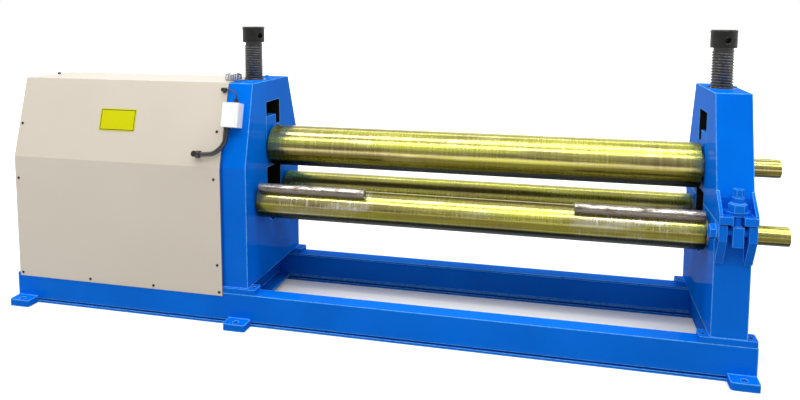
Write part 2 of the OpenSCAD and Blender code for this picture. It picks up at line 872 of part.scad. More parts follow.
// Involute tooth outline: angle of the flank at radius r from the tooth's middle
function inv_angle(a) = tan(a) * 180 / PI - a;
function flank_angle(teeth, r, slack) = let (
        pitch_r = gear_mod * teeth / 2,
        base_r = pitch_r * cos(20),
        at = acos(min(1, base_r / r)))
    90 / teeth - slack / pitch_r * 90 / PI + inv_angle(20) - inv_angle(at);
function tooth_points(teeth, slack) = let (
        pitch_r = gear_mod * teeth / 2,
        root_r = pitch_r - 1.25 * gear_mod,
        start_r = max(root_r + 0.5, pitch_r * cos(20)),
        tip_r = pitch_r + gear_mod,
        steps = 4,
        radii = [for (i = [0 : steps]) start_r + (tip_r - start_r) * i / steps],
        foot = flank_angle(teeth, start_r, slack))
    concat([[root_r, -foot]], [for (r = radii) [r, -flank_angle(teeth, r, slack)]],
        [for (i = [steps : -1 : 0]) [radii[i], flank_angle(teeth, radii[i], slack)]],
        [[root_r, foot]]);

// Spur gear along X, a tooth pointing at the angle turn in the Y and Z plane
module spur_gear(teeth, bore_d, x0, y, z, turn) {
    slack = 0.5;
    tooth = tooth_points(teeth, slack);
    translate([x0, y, z]) rotate([90, 0, 90]) difference() {
        linear_extrude(gear_w) rotate(turn) polygon([for (i = [0 : teeth - 1], p = tooth)
            p[0] * [cos(p[1] + i * 360 / teeth), sin(p[1] + i * 360 / teeth)]]);
        translate([0, 0, -1]) cylinder(h = gear_w + 2, r = bore_d / 2);
    }
}

// Tooth phases: the pinion has a gap towards the front gear, and the rear gear's tooth
// lies where that pinion's next gap passes the line of centres
front_gear_turn = -mesh_ang;
pinion_turn = 180 - mesh_ang + 180 / pinion_teeth;
pinion_step = 360 / pinion_teeth;
gap_error = (mesh_ang - (180 - mesh_ang)) / pinion_step;
gap_offset = (round(gap_error) - gap_error) * pinion_step;
rear_gear_turn = 180 + mesh_ang - gap_offset * pinion_teeth / gear_teeth;

module roll_gear(y, turn) {
    web_r = gear_r - 2.25 * gear_mod - 8;
    hub_r = gear_seat_d / 2 + 16;
    color(cast) difference() {
        spur_gear(gear_teeth, gear_seat_d, gear_x0, y, bottom_axis_h, turn);
        // Recess turned into the outer face
        ring(gear_x0 - 1, 24, web_r, hub_r, y, bottom_axis_h);
    }
}

module front_roll_gear() {
    roll_gear(front_roll_y, front_gear_turn);
}

module rear_roll_gear() {
    roll_gear(rear_roll_y, rear_gear_turn);
}

module drive_pinion() {
    color(cast) spur_gear(pinion_teeth, output_d, gear_x0, 0, pinion_h, pinion_turn);
}

shaft_in = 50;

module output_shaft() {
    color(steel) rod(gearbox_x1 - shaft_in, gear_x1 + gear_end - gearbox_x1 + shaft_in,
        output_d / 2, 0, pinion_h);
}

module input_shaft() {
    color(steel) rod(pulley_x0, gearbox_x0 + shaft_in - pulley_x0, input_d / 2, input_y,
        input_h);
}

// Ribbed cast case, hollow, with a bearing boss round each shaft
module gearbox_case() {
    rib_t = 12;
    rib_out = 14;
    boss_out = 12;
    color(cast) difference() {
        union() {
            translate([gearbox_x0, -gearbox_half, gearbox_low])
                cube([gearbox_l, 2 * gearbox_half, gearbox_top - gearbox_low]);
            for (x = [gearbox_x0 + 60, gearbox_x0 + gearbox_l / 2, gearbox_x1 - 60])
                translate([x - rib_t / 2, -gearbox_half - rib_out, gearbox_low])
                    cube([rib_t, 2 * (gearbox_half + rib_out), gearbox_top - gearbox_low - 30]);
            rod(gearbox_x1 - 1, boss_out + 1, output_d / 2 + 28, 0, pinion_h);
            rod(gearbox_x0 - boss_out, boss_out + 1, input_d / 2 + 24, input_y, input_h);
        }
        translate([gearbox_x0 + gearbox_wall, -gearbox_half + gearbox_wall,
            gearbox_low + gearbox_wall])
            cube([gearbox_l - 2 * gearbox_wall, 2 * (gearbox_half - gearbox_wall),
                gearbox_top - gearbox_low - 2 * gearbox_wall]);
        rod(gearbox_x1 - gearbox_wall - 1, gearbox_wall + boss_out + 2, output_d / 2 + run_fit,
            0, pinion_h);
        rod(gearbox_x0 - boss_out - 1, gearbox_wall + boss_out + 2, input_d / 2 + run_fit,
            input_y, input_h);
    }
}

module gearbox_feet() {
    color(cast) for (s = [-1, 1]) difference() {
        translate([gearbox_x0, s > 0 ? 60 : -gearbox_half - 42, plate_top])
            cube([gearbox_l, gearbox_half - 18, feet_t]);
        for (x = [gearbox_x0 + 40, gearbox_x1 - 40])
            translate([x, s * (gearbox_half + 24), plate_top - 1])
                cylinder(h = feet_t + 2, r = 9);
    }
}

// Pulley with one square groove for each belt; r is the belt's outer radius
module pulley(r, bore_d, y, z, web) {
    groove = belt_t + groove_fit + 1;
    rim = r - groove - 8;
    hub = bore_d / 2 + 16;
    translate([pulley_x0, y, z]) rotate([90, 0, 90]) difference() {
        cylinder(h = pulley_w, r = r);
        translate([0, 0, -1]) cylinder(h = pulley_w + 2, r = bore_d / 2);
        for (i = [0 : belt_n - 1])
            translate([0, 0, 4 + (i + 0.5) * belt_pitch_x - belt_w / 2 - groove_fit])
                difference() {
                    cylinder(h = belt_w + 2 * groove_fit, r = r + 1);
                    translate([0, 0, -1]) cylinder(h = belt_w + 3, r = r - belt_t - groove_fit);
                }
        if (web) for (h = [-1, pulley_w / 2 + 5]) translate([0, 0, h]) difference() {
            cylinder(h = pulley_w / 2 - 4, r = rim);
            translate([0, 0, -1]) cylinder(h = pulley_w, r = hub);
        }
    }
}

module gearbox_pulley() {
    color(cast) pulley(big_r, input_d, input_y, input_h, true);
}

module motor_pulley() {
    color(cast) pulley(small_r, motor_shaft_d, motor_y, motor_h, false);
}

// Outline round two pulleys with straight runs between them
module belt_outline(ra, rb) {
    dy = input_y - motor_y;
    dz = input_h - motor_h;
    d = sqrt(dy * dy + dz * dz);
    line = atan2(dz, dy);
    lean = acos((ra - rb) / d);
    function rim(c, r, s) = c + r * [cos(line + s * lean), sin(line + s * lean)];
    a = [motor_y, motor_h];
    b = [input_y, input_h];
    translate(a) circle(r = ra);
    translate(b) circle(r = rb);
    polygon([rim(a, ra, 1), rim(b, rb, 1), rim(b, rb, -1), rim(a, ra, -1)]);
}

module v_belts() {
    color("#222222") for (i = [0 : belt_n - 1])
        slab(pulley_x0 + 4 + (i + 0.5) * belt_pitch_x - belt_w / 2, belt_w) difference() {
            belt_outline(small_r, big_r);
            belt_outline(small_r - belt_t, big_r - belt_t);
        }
}

module motor_shaft() {
    color(steel) rod(motor_x1 - shaft_in, shaft_in + motor_gap + pulley_w, motor_shaft_d / 2,
        motor_y, motor_h);
}

// Finned motor frame with its feet
module motor_body() {
    r = motor_d / 2;
    core = r - 14;
    fins = 28;
    color(cast) difference() {
        union() {
            rod(motor_x0, motor_l, core, motor_y, motor_h);
            for (x = [motor_x0, motor_x1 - 22]) rod(x, 22, r, motor_y, motor_h);
            for (i = [0 : fins - 1]) translate([motor_x0 + 20, motor_y, motor_h])
                rotate([i * 360 / fins, 0, 0]) translate([0, -2, core - 4])
                    cube([motor_l - 40, 4, 16]);
            translate([motor_x0 + 30, motor_y - 95, plate_top]) cube([motor_l - 60, 190, 16]);
            for (y = [-70, 56]) translate([motor_x0 + 50, motor_y + y, plate_top + 15])
                cube([motor_l - 100, 14, 60]);
        }
        rod(motor_x1 - shaft_in - 2, shaft_in + 3, motor_shaft_d / 2 + run_fit, motor_y,
            motor_h);
    }
}

// Pressed cowl over the fan, with slots in its end
module motor_fan_cover() {
    r = motor_d / 2 + 2;
    color(cast) difference() {
        rod(motor_x0 - fan_l, fan_l, r, motor_y, motor_h);
        rod(motor_x0 - fan_l + 3, fan_l, r - 3, motor_y, motor_h);
        for (z = [-60 : 20 : 60])
            translate([motor_x0 - fan_l - 1, motor_y - 60, motor_h + z - 3]) cube([5, 120, 6]);
    }
}

module motor_terminal_box() {
    fin_top = motor_d / 2 - 2;
    color(cast) translate([motor_x0 + 90, motor_y - 45, motor_h + fin_top + seat_gap])
        cube([110, 90, 52]);
}

// Slotted plate with two gussets, welded on the upper housing's front
module clamp_bracket() {
    x0 = right_mid_x - clamp_w / 2;
    face = -right_profile[0];
    front = -half_w - clamp_plate_out;
    gusset_t = 12;
    gusset_top = clamp_plate_top + 84;
    slot_r = eye_bolt_d / 2 + 2;
    color(blue) {
        difference() {
            translate([x0, front, clamp_plate_low]) cube([clamp_w, face - front, clamp_plate_t]);
            translate([right_mid_x, bolt_y, clamp_plate_low - 1])
                cylinder(h = clamp_plate_t + 2, r = slot_r);
            translate([right_mid_x - slot_r, front - 1, clamp_plate_low - 1])
                cube([2 * slot_r, bolt_y - front + 1, clamp_plate_t + 2]);
        }
        for (x = [x0, x0 + clamp_w - gusset_t]) slab(x, gusset_t)
            polygon([[face, clamp_plate_top], [front + 4, clamp_plate_top],
                [front + 4, clamp_plate_top + 10],
                [front_y(right_profile, gusset_top), gusset_top], [face, knee_h]]);
    }
}

// Two ears on the lower stand
module clamp_clevis() {
    face = -right_profile[0];
    front = bolt_y - 28;
    x0 = right_mid_x - clamp_w / 2 + 1;
    low = clevis_pin_h - ear_drop;
    color(blue) for (x = [x0, x0 + clamp_w - 2 - ear_t]) difference() {
        slab(x, ear_t) polygon([[face, low + 4], [face - 14, low], [front, low + 104],
            [front, split_h - 3], [face, split_h - 3]]);
        rod(x - 1, ear_t + 2, clevis_pin_d / 2 + 0.1, bolt_y, clevis_pin_h);
    }
}

// Pin with a hexagon head and washer at the left
module clevis_pin() {
    x0 = right_mid_x - clamp_w / 2 + 1;
    color(blue) {
        rod(x0 - 9, clamp_w + 6, clevis_pin_d / 2, bolt_y, clevis_pin_h);
        translate([x0 - 8.5, bolt_y, clevis_pin_h]) rotate([0, -90, 0]) hexagon(50, 22);
        ring(x0 - 8.5, 8, 31, clevis_pin_d / 2 - 1, bolt_y, clevis_pin_h);
    }
}

// Eye, shank and the hexagon end that a spanner holds
module eye_bolt() {
    color(blue) difference() {
        union() {
            translate([right_mid_x - eye_w / 2, bolt_y - eye_deep, clevis_pin_h - eye_drop])
                cube([eye_w, eye_deep + 20, eye_drop + eye_rise]);
            translate([right_mid_x, bolt_y, clevis_pin_h])
                cylinder(h = stud_top - 28 - clevis_pin_h, r = eye_bolt_d / 2);
            translate([right_mid_x, bolt_y, stud_top - 28]) hexagon(34, 28);
        }
        rod(right_mid_x - eye_w / 2 - 1, eye_w + 2, clevis_pin_d / 2 + 0.1, bolt_y,
            clevis_pin_h);
    }
}

// Half-round pressure pad, flat towards the housing
module clamp_washer() {
    flat_y = -half_w - 1;
    color(blue) difference() {
        translate([right_mid_x, -half_w - 10, clamp_plate_top])
            cylinder(h = washer_t, r = washer_r);
        translate([right_mid_x - washer_r - 1, flat_y, clamp_plate_top - 1])
            cube([2 * washer_r + 2, 2 * washer_r, washer_t + 2]);
        translate([right_mid_x, bolt_y, clamp_plate_top - 1])
            cylinder(h = washer_t + 2, r = eye_bolt_d / 2 + 1);
    }
}

// Nut with a lock nut on it
module clamp_nut() {
    stack = clamp_nut_h + lock_nut_h;
    color(blue) translate([right_mid_x, bolt_y, clamp_plate_top + washer_t]) difference() {
        union() {
            hexagon(clamp_nut_af, clamp_nut_h - 5);
            cylinder(h = clamp_nut_h, r = clamp_nut_af / 2 - 2);
            cylinder(h = stack, r = 22);
        }
        translate([0, 0, -1]) cylinder(h = stack + 2, r = eye_bolt_d / 2 + run_fit);
    }
}

// Bent sheet between the cabinet's ends, drawn by its outer and inner lines
module bent_sheet(x0, len, outer, inner) {
    slab(x0, len) polygon(concat(outer, [for (i = [len(inner) - 1 : -1 : 0]) inner[i]]));
}

cover_top = left_stand_h + seat_gap;

// Front, slope and top of the cabinet, bent from one sheet
module front_cover() {
    outer = concat(front_line(cover_profile, cover_out, cover_low_h, cover_top + sheet_t),
        [[cover_back_y, cover_top + sheet_t]]);
    inner = concat(front_line(cover_profile, cover_in, cover_low_h, cover_top),
        [[cover_back_y, cover_top]]);
    color(beige) difference() {
        bent_sheet(cabinet_x, cabinet_x1 - cabinet_x, outer, inner);
        for (p = cover_screw_places) on_cover(p)
            translate([0, 1, 0]) rotate([90, 0, 0]) cylinder(h = 8, r = screw_hole_r);
        translate([oil_cap_x, oil_cap_y, cover_top - 1])
            cylinder(h = sheet_t + 2, r = oil_neck_r + 2);
        translate([lift_screw[0], lift_screw[1], cover_top - 1])
            cylinder(h = sheet_t + 2, r = screw_hole_r + 1);
        // Round bite in the free edge, past the pressure screw
        translate([left_mid_x, 0, cover_top - 1]) cylinder(h = sheet_t + 2, r = screw_r + 5);
        on_cover(conduit_entry) translate([0, 1, 0]) rotate([90, 0, 0])
            cylinder(h = 8, r = conduit_d / 2 - 2);
        on_cover(cable_entry) translate([0, 1, 0]) rotate([90, 0, 0])
            cylinder(h = 8, r = cable_d / 2);
    }
}

// Places children on the cabinet's front, upright or slanted, at [x, z]
module on_cover(place) {
    if (place[1] > knee_h) on_slope(cover_profile, place[0], place[1]) children();
    else translate([place[0], -half_w, place[1]]) children();
}

// Rear slope and rear wall, bent from one sheet
module rear_cover() {
    outer = rear_line(cover_profile, cover_out, cover_low_h, cover_top);
    inner = rear_line(cover_profile, cover_in, cover_low_h, cover_top);
    color(beige) bent_sheet(cabinet_x, left_outer_x - seat_gap - cabinet_x, outer, inner);
}

module end_cover() {
    color(beige) slab(cabinet_x - sheet_t, sheet_t)
        polygon(outline(cover_profile, cover_out, rail_h + seat_gap, cover_top + sheet_t));
}

// Angle frame behind the end cover, a ledge along each rail, and the strip that fills
// the wedge between the front cover and the left stand
module cabinet_frame() {
    bar = 30;
    thick = 5;
    ledge = 36;
    p = cover_profile;
    strip_top = left_stand_h - 60;
    strip_low = body_low + 10;
    strip_back = front_line(left_profile, 0, strip_low, strip_top);
    color(blue) {
        difference() {
            slab(cabinet_x + seat_gap, bar) polygon(outline(p, 0, rail_h, left_stand_h));
            slab(cabinet_x + seat_gap + thick, bar)
                polygon(outline(p, thick, rail_h - 1, left_stand_h - thick));
            slab(cabinet_x - 1, bar) polygon(outline(p, bar, rail_h - 1, left_stand_h - bar));
        }
        bent_sheet(left_outer_x, cabinet_lap - 6, front_line(p, 0, strip_low, strip_top),
            strip_back);
        for (s = [-1, 1]) {
            translate([cabinet_x + bar, s > 0 ? half_w - ledge : -half_w, rail_h])
                cube([left_outer_x - tab_out - 1 - cabinet_x - bar, ledge, thick]);
            translate([cabinet_x + bar, s > 0 ? half_w - thick : -half_w, rail_h])
                cube([left_outer_x - tab_out - 1 - cabinet_x - bar, thick, bar]);
        }
    }
}

// Dome screws that hold the covers
module cover_screw() {
    head_h = 4;
    shank_r = screw_hole_r - seat_gap;
    rotate([90, 0, 0]) {
        cylinder(h = seat_gap + sheet_t, r = shank_r);
        translate([0, 0, seat_gap + sheet_t]) rotate_extrude() polygon([[0, 0],
            [screw_head_r, 0], [screw_head_r - 1.5, head_h - 1.2], [screw_head_r - 3.5, head_h],
            [0, head_h]]);
    }
}

module cover_screws() {
    color(dark_steel) {
        for (p = cover_screw_places) on_cover(p) cover_screw();
        translate([lift_screw[0], lift_screw[1], left_stand_h]) {
            cylinder(h = seat_gap + sheet_t + 1, r = screw_hole_r);
            translate([0, 0, seat_gap + sheet_t]) hexagon(16, 9);
        }
    }
}

module data_plate() {
    color(yellow) on_slope(cover_profile, data_plate_x, data_plate_z)
        translate([0, -seat_gap - sheet_t - 1.5, 0]) cube([data_plate_w, 1.5, data_plate_h]);
}

// Fluted filler cap on the gear chamber
module oil_cap() {
    flutes = 28;
    r = oil_cap_d / 2;
    low = seat_gap * 2 + sheet_t;
    color("#b9bbbc") translate([oil_cap_x, oil_cap_y, left_stand_h]) {
        cylinder(h = low + 1, r = oil_neck_r);
        translate([0, 0, low]) difference() {
            rotate_extrude() polygon([[0, 0], [r - 3, 0], [r - 3, 6], [r, 6], [r, oil_cap_h - 9],
                [r - 5, oil_cap_h - 5], [r - 12, oil_cap_h - 5], [r - 14, oil_cap_h],
                [0, oil_cap_h]]);
            for (i = [0 : flutes - 1]) rotate([0, 0, i * 360 / flutes])
                translate([r + 1, 0, 8]) cylinder(h = oil_cap_h, r = 3, $fn = 16);
        }
    }
}

// Moulded box, closed by a lid with a small gap all round
module switch_box() {
    wall = 3;
    depth = box_d - lid_d;
    color(white) on_slope(left_profile, box_x, box_z) difference() {
        translate([0, -depth, -box_h / 2]) cube([box_w, depth, box_h]);
        translate([wall, -depth - 1, wall - box_h / 2])
            cube([box_w - 2 * wall, depth + 1 - wall, box_h - 2 * wall]);
        for (p = [[top_gland_x, box_h / 2 - 5, cable_d / 2], [low_gland_x, -box_h / 2 - 5,
            conduit_d / 2 - 2]]) translate([p[0] - box_x, -gland_depth, p[1]])
                cylinder(h = 10, r = p[2]);
    }
}

module switch_box_lid() {
    depth = box_d - lid_d;
    chamfer = 10;
    color(white) on_slope(left_profile, box_x, box_z) translate([0, 0, -box_h / 2])
        linear_extrude(box_h)
        polygon([[0, -depth], [0, -box_d + 2], [2, -box_d], [box_w - chamfer, -box_d],
            [box_w, -box_d + chamfer], [box_w, -depth]]);
}

// Hexagon glands on the box
module gland(r, bore_r, l) {
    difference() {
        union() {
            cylinder(h = l * 0.45, r = r * 1.12, $fn = 6);
            cylinder(h = l, r = r * 0.92);
        }
        translate([0, 0, -1]) cylinder(h = l + 2, r = bore_r);
    }
}

// Elbow fitting on the cover: its foot stands square to the sheet and its socket looks
// along X, so that the lead runs in without a tight bend
module elbow(place, r, bore, out, l) {
    corner = cover_point(place, cover_face + out);
    difference() {
        union() {
            on_cover(place) translate([0, -cover_face, 0]) rotate([90, 0, 0]) {
                hexagon(2 * r + 5, 6);
                cylinder(h = out + r, r = r);
            }
            translate(corner) rotate([0, 90, 0]) cylinder(h = l, r = r - 1);
            translate(corner + [l - 6, 0, 0]) rotate([0, 90, 0]) cylinder(h = 6, r = r + 1);
        }
        on_cover(place) translate([0, 1 - cover_face, 0]) rotate([90, 0, 0])
            cylinder(h = out + bore, r = bore + 0.5);
        translate(corner) rotate([0, 90, 0]) cylinder(h = l + 1, r = bore);
    }
}

module cable_glands() {
    color("#2b2b2b") {
        on_slope(left_profile, 0, box_z) {
            translate([top_gland_x, -gland_depth, box_h / 2])
                gland(gland_r - 2, cable_d / 2 + 0.2, gland_l);
            translate([low_gland_x, -gland_depth, -box_h / 2]) mirror([0, 0, 1])
                gland(gland_r + 2, conduit_d / 2 - 2, low_gland_l);
        }
        elbow(conduit_entry, gland_r + 1, conduit_d / 2 - 2, elbow_out, elbow_l);
        elbow(cable_entry, gland_r - 4, cable_d / 2 + 0.2, small_elbow_out, small_elbow_l);
    }
}

// Sweeps a round section along a route of points
function unit(v) = v / norm(v);
function route_dir(p, i) = unit(p[min(i + 1, len(p) - 1)] - p[max(i - 1, 0)]);
function side_of(d) = unit(cross(d, abs(d[2]) > 0.9 ? [1, 0, 0] : [0, 0, 1]));
function next_side(s, d) = unit(s - d * (s * d));
function sides_along(p, i = 0, s = undef) = i == len(p) ? [] : let (
        d = route_dir(p, i),
        n = i == 0 ? side_of(d) : next_side(s, d))
    concat([n], sides_along(p, i + 1, n));

module tube_along(p, r, sides) {
    n = len(p);
    across = sides_along(p);
    points = [for (i = [0 : n - 1], k = [0 : sides - 1]) let (
            d = route_dir(p, i),
            a = across[i],
            b = cross(d, a),
            t = k * 360 / sides)
        p[i] + r * (cos(t) * a + sin(t) * b)];
    walls = [for (i = [0 : n - 2], k = [0 : sides - 1]) let (
            j = (k + 1) % sides, a = i * sides + k, b = i * sides + j,
            c = (i + 1) * sides + j, e = (i + 1) * sides + k)
        each [[a, c, b], [a, e, c]]];
    caps = concat([[for (k = [0 : sides - 1]) k]],
        [[for (k = [sides - 1 : -1 : 0]) (n - 1) * sides + k]]);
    polyhedron(points = points, faces = concat(walls, caps));
}

module flexible_conduit() {
    color("#222222") tube_along(conduit_route, conduit_d / 2, 12);
}

module sensor_cable() {
    color("#222222") tube_along(cable_route, cable_d / 2, 8);
}

// The two loose bars that lie along the front roll, one at each end
module loose_bar(x0) {
    c = 2;
    r = bar_d / 2;
    translate([x0, bar_y, bar_h]) rotate([0, 90, 0]) rotate_extrude() polygon([[0, 0],
        [r - c, 0], [r, c], [r, bar_l - c], [r - c, bar_l], [0, bar_l]]);
}

module loose_bars() {
    color("#9a9a96") {
        loose_bar(barrel_x0 + 14);
        loose_bar(barrel_x1 - 6 - bar_l);
    }
}

front_rail();
rear_rail();
cross_members();
foot_plates();
drive_base_plate();
left_stand();
left_base_bars();
left_screw_nut();
right_lower_stand();
right_upper_housing();
right_base_bars();
right_screw_nut();
base_bolts();
head_bolts();
bottom_bushes_left();
bottom_bushes_right();
left_bearing_block();
right_bearing_block();
top_bushes();
left_pressure_screw();
left_screw_cap();
right_pressure_screw();
right_screw_cap();
top_roll();
front_bottom_roll();
rear_bottom_roll();
front_roll_gear();
rear_roll_gear();
drive_pinion();
output_shaft();
gearbox_case();
gearbox_feet();
input_shaft();
gearbox_pulley();
v_belts();
motor_pulley();
motor_shaft();
motor_body();
motor_fan_cover();
motor_terminal_box();
clamp_bracket();
clamp_clevis();
clevis_pin();
eye_bolt();
clamp_washer();
clamp_nut();
hinge_pin();
front_cover();
rear_cover();
end_cover();
cabinet_frame();
cover_screws();
data_plate();
oil_cap();
switch_box();
switch_box_lid();
cable_glands();
flexible_conduit();
sensor_cable();
loose_bars();
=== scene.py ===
import json
import math

import bmesh
import bpy
from mathutils import Matrix, Vector

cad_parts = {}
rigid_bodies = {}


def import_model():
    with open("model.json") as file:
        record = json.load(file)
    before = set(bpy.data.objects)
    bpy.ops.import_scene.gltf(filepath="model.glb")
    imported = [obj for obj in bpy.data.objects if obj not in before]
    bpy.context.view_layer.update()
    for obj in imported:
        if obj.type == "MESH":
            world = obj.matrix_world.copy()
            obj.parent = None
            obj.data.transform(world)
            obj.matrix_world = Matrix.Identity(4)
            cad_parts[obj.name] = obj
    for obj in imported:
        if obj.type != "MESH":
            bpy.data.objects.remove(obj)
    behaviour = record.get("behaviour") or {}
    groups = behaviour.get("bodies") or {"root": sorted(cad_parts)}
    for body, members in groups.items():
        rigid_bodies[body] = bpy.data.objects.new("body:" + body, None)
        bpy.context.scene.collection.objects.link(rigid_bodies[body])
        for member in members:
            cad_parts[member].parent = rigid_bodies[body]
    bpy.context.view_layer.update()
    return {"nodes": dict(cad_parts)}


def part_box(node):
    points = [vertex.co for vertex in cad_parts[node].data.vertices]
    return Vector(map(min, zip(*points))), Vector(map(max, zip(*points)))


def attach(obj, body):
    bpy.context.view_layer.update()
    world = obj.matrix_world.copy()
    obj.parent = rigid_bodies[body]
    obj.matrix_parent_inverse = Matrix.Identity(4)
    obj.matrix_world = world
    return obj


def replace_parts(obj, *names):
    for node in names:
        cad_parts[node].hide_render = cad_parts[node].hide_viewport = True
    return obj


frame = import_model()
node_objects = frame["nodes"]

# Camera: it stands 2.7 m in front of the right half of the machine, a little higher than the
# screws' collars, so the cabinet is seen at a slant and every top from above.
camera = bpy.data.objects.new("camera", bpy.data.cameras.new("camera"))
camera.location = (0.9519, -3.1504, 1.4543)
camera.rotation_euler = (math.radians(84.549), math.radians(-0.136), math.radians(13.258))
camera.data.sensor_width = 36
camera.data.lens = 30.66
camera.data.shift_x = -0.0049
camera.data.shift_y = -0.15
bpy.context.scene.collection.objects.link(camera)
bpy.context.scene.camera = camera


# Leads: a black ribbed conduit of plastic hangs in one bend from the gland under the switch
# box to an elbow on the cabinet, and a thin black lead loops from the gland on top of the box
# to a smaller elbow. The nuts of the glands grip both.
class Socket:
    """An output of a node tree that takes part in sums."""

    def __init__(self, tree, out):
        self.tree = tree
        self.out = out

    def sum(self, operation, *values):
        return self.tree.node("ShaderNodeMath", {"operation": operation},
                              dict(enumerate(values)))

    def __add__(self, other):
        return self.sum("ADD", self, other)

    def __sub__(self, other):
        return self.sum("SUBTRACT", self, other)

    def __rsub__(self, other):
        return self.sum("SUBTRACT", other, self)

    def __mul__(self, other):
        return self.sum("MULTIPLY", self, other)

    def __truediv__(self, other):
        return self.sum("DIVIDE", self, other)

    def at_least(self, other):
        return self.sum("MAXIMUM", self, other)

    def wave(self):
        return self.sum("SINE", self)

    __radd__ = __add__
    __rmul__ = __mul__


class Tree:
    """A node tree to which nodes are added one by one."""

    def __init__(self, tree):
        self.tree = tree

    def node(self, kind, settings=None, sockets=None, out=0):
        made = self.tree.nodes.new(kind)
        for name, value in (settings or {}).items():
            if name == "stops":
                ramp = made.color_ramp
                while len(ramp.elements) < len(value):
                    ramp.elements.new(0.5)
                for element, (place, colour) in zip(ramp.elements, value):
                    element.position = place
                    element.color = (*colour, 1)
            else:
                setattr(made, name, value)
        for name, value in (sockets or {}).items():
            self.give(made.inputs[name], value)
        return Socket(self, made.outputs[out])

    def give(self, socket, value):
        if isinstance(value, Socket):
            self.tree.links.new(value.out, socket)
        else:
            socket.default_value = value

    def axis(self, vector, letter):
        """The part of a vector along X, Y or Z."""
        return self.node("ShaderNodeSeparateXYZ", {}, {0: vector}, out=letter)

    def length(self, vector):
        return self.node("ShaderNodeVectorMath", {"operation": "LENGTH"}, {0: vector},
                         out="Value")


class Finish(Tree):
    """A material built round one Principled shader."""

    def __init__(self, name, **values):
        self.material = bpy.data.materials.new(name)
        self.material.use_nodes = True
        super().__init__(self.material.node_tree)
        self.shader = self.tree.nodes["Principled BSDF"]
        self.place = self.node("ShaderNodeTexCoord", out="Object")
        self.set(**values)

    def set(self, **values):
        for name, value in values.items():
            self.give(self.shader.inputs[name.replace("_", " ")], value)

    def spread(self, stretch, centre=(0, 0, 0)):
        """The object's place, centred on a point and stretched along each axis."""
        moved = self.node("ShaderNodeVectorMath", {"operation": "SUBTRACT"},
                          {0: self.place, 1: centre})
        return self.node("ShaderNodeVectorMath", {"operation": "MULTIPLY"},
                         {0: moved, 1: stretch})

    def noise(self, scale, stretch=(1, 1, 1), detail=3.0, rough=0.5):
        return self.node("ShaderNodeTexNoise", {}, {
            "Vector": self.spread(stretch), "Scale": scale, "Detail": detail,
            "Roughness": rough})

    def mix(self, share, first, second):
        return self.node("ShaderNodeMix", {"data_type": "RGBA", "clamp_factor": True},
                         {0: share, 6: colour(first), 7: colour(second)}, out=2)

    def range(self, value, low, high, to_low=0.0, to_high=1.0):
        return self.node("ShaderNodeMapRange", {"interpolation_type": "SMOOTHSTEP"}, {
            "Value": value, "From Min": low, "From Max": high, "To Min": to_low,
            "To Max": to_high})

    def within(self, letter, low, high):
        """1 where a coordinate of the place lies between two values."""
        value = self.axis(self.place, letter)
        return value.sum("GREATER_THAN", value, low) * value.sum("LESS_THAN", value, high)

    def round_edges(self, radius):
        return self.node("ShaderNodeBevel", {"samples": 4}, {"Radius": radius})

    def edge_mask(self, rounded, low=0.0, high=0.25):
        """1 where the surface turns over an edge, 0 on its flats."""
        flat = self.node("ShaderNodeNewGeometry", out="True Normal")
        same = self.node("ShaderNodeVectorMath", {"operation": "DOT_PRODUCT"},
                         {0: flat, 1: rounded}, out="Value")
        return self.range(1 - same, low, high)

    def bump(self, height, distance, normal=None):
        sockets = {"Height": height, "Distance": distance}
        if normal:
            sockets["Normal"] = normal
        self.set(Normal=self.node("ShaderNodeBump", {}, sockets))


def colour(value):
    return value if isinstance(value, Socket) else (*value, 1)


def dress(finish, *names):
    """Gives the solid pieces of these names a finish."""
    for name in names:
        for slot in node_objects[name].material_slots:
            slot.material = finish.material


def polylines(name, paths):
    """A mesh of edges only, one chain for each path."""
    points = [p for path in paths for p in path]
    edges = []
    start = 0
    for path in paths:
        edges += [(start + i, start + i + 1) for i in range(len(path) - 1)]
        start += len(path)
    mesh = bpy.data.meshes.new(name)
    mesh.from_pydata(points, edges, [])
    return mesh


class Recipe(Tree):
    """A Geometry Nodes tree with named inputs."""

    def __init__(self, name, **kinds):
        tree = bpy.data.node_groups.new(name, "GeometryNodeTree")
        super().__init__(tree)
        tree.interface.new_socket("Geometry", in_out="INPUT", socket_type="NodeSocketGeometry")
        self.ids = {}
        for key, kind in kinds.items():
            made = tree.interface.new_socket(key, in_out="INPUT",
                                             socket_type="NodeSocket" + kind)
            self.ids[key] = made.identifier
        tree.interface.new_socket("Geometry", in_out="OUTPUT", socket_type="NodeSocketGeometry")
        self.start = tree.nodes.new("NodeGroupInput")
        self.end = tree.nodes.new("NodeGroupOutput")

    def input(self, name):
        return Socket(self, self.start.outputs[name])

    def close(self, shape, smooth=True):
        real = self.node("GeometryNodeRealizeInstances", {}, {0: shape})
        soft = self.node("GeometryNodeSetShadeSmooth", {}, {0: real, "Shade Smooth": smooth})
        self.give(self.end.inputs[0], self.node("GeometryNodeSetMaterial", {}, {
            0: soft, "Material": self.input("material")}))

    def make(self, name, mesh, body, slot, finish, **values):
        """Runs the recipe on a mesh and leaves one plain mesh that rides on a body."""
        piece = bpy.data.objects.new(name, mesh)
        bpy.context.scene.collection.objects.link(piece)
        modifier = piece.modifiers.new("recipe", "NODES")
        modifier.node_group = self.tree
        modifier[self.ids["material"]] = finish.material
        for key, value in values.items():
            modifier[self.ids[key]] = value
        bpy.context.view_layer.update()
        evaluated = piece.evaluated_get(bpy.context.evaluated_depsgraph_get())
        grown = bpy.data.meshes.new_from_object(evaluated)
        piece.modifiers.remove(modifier)
        piece.data = grown
        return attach(piece, body)


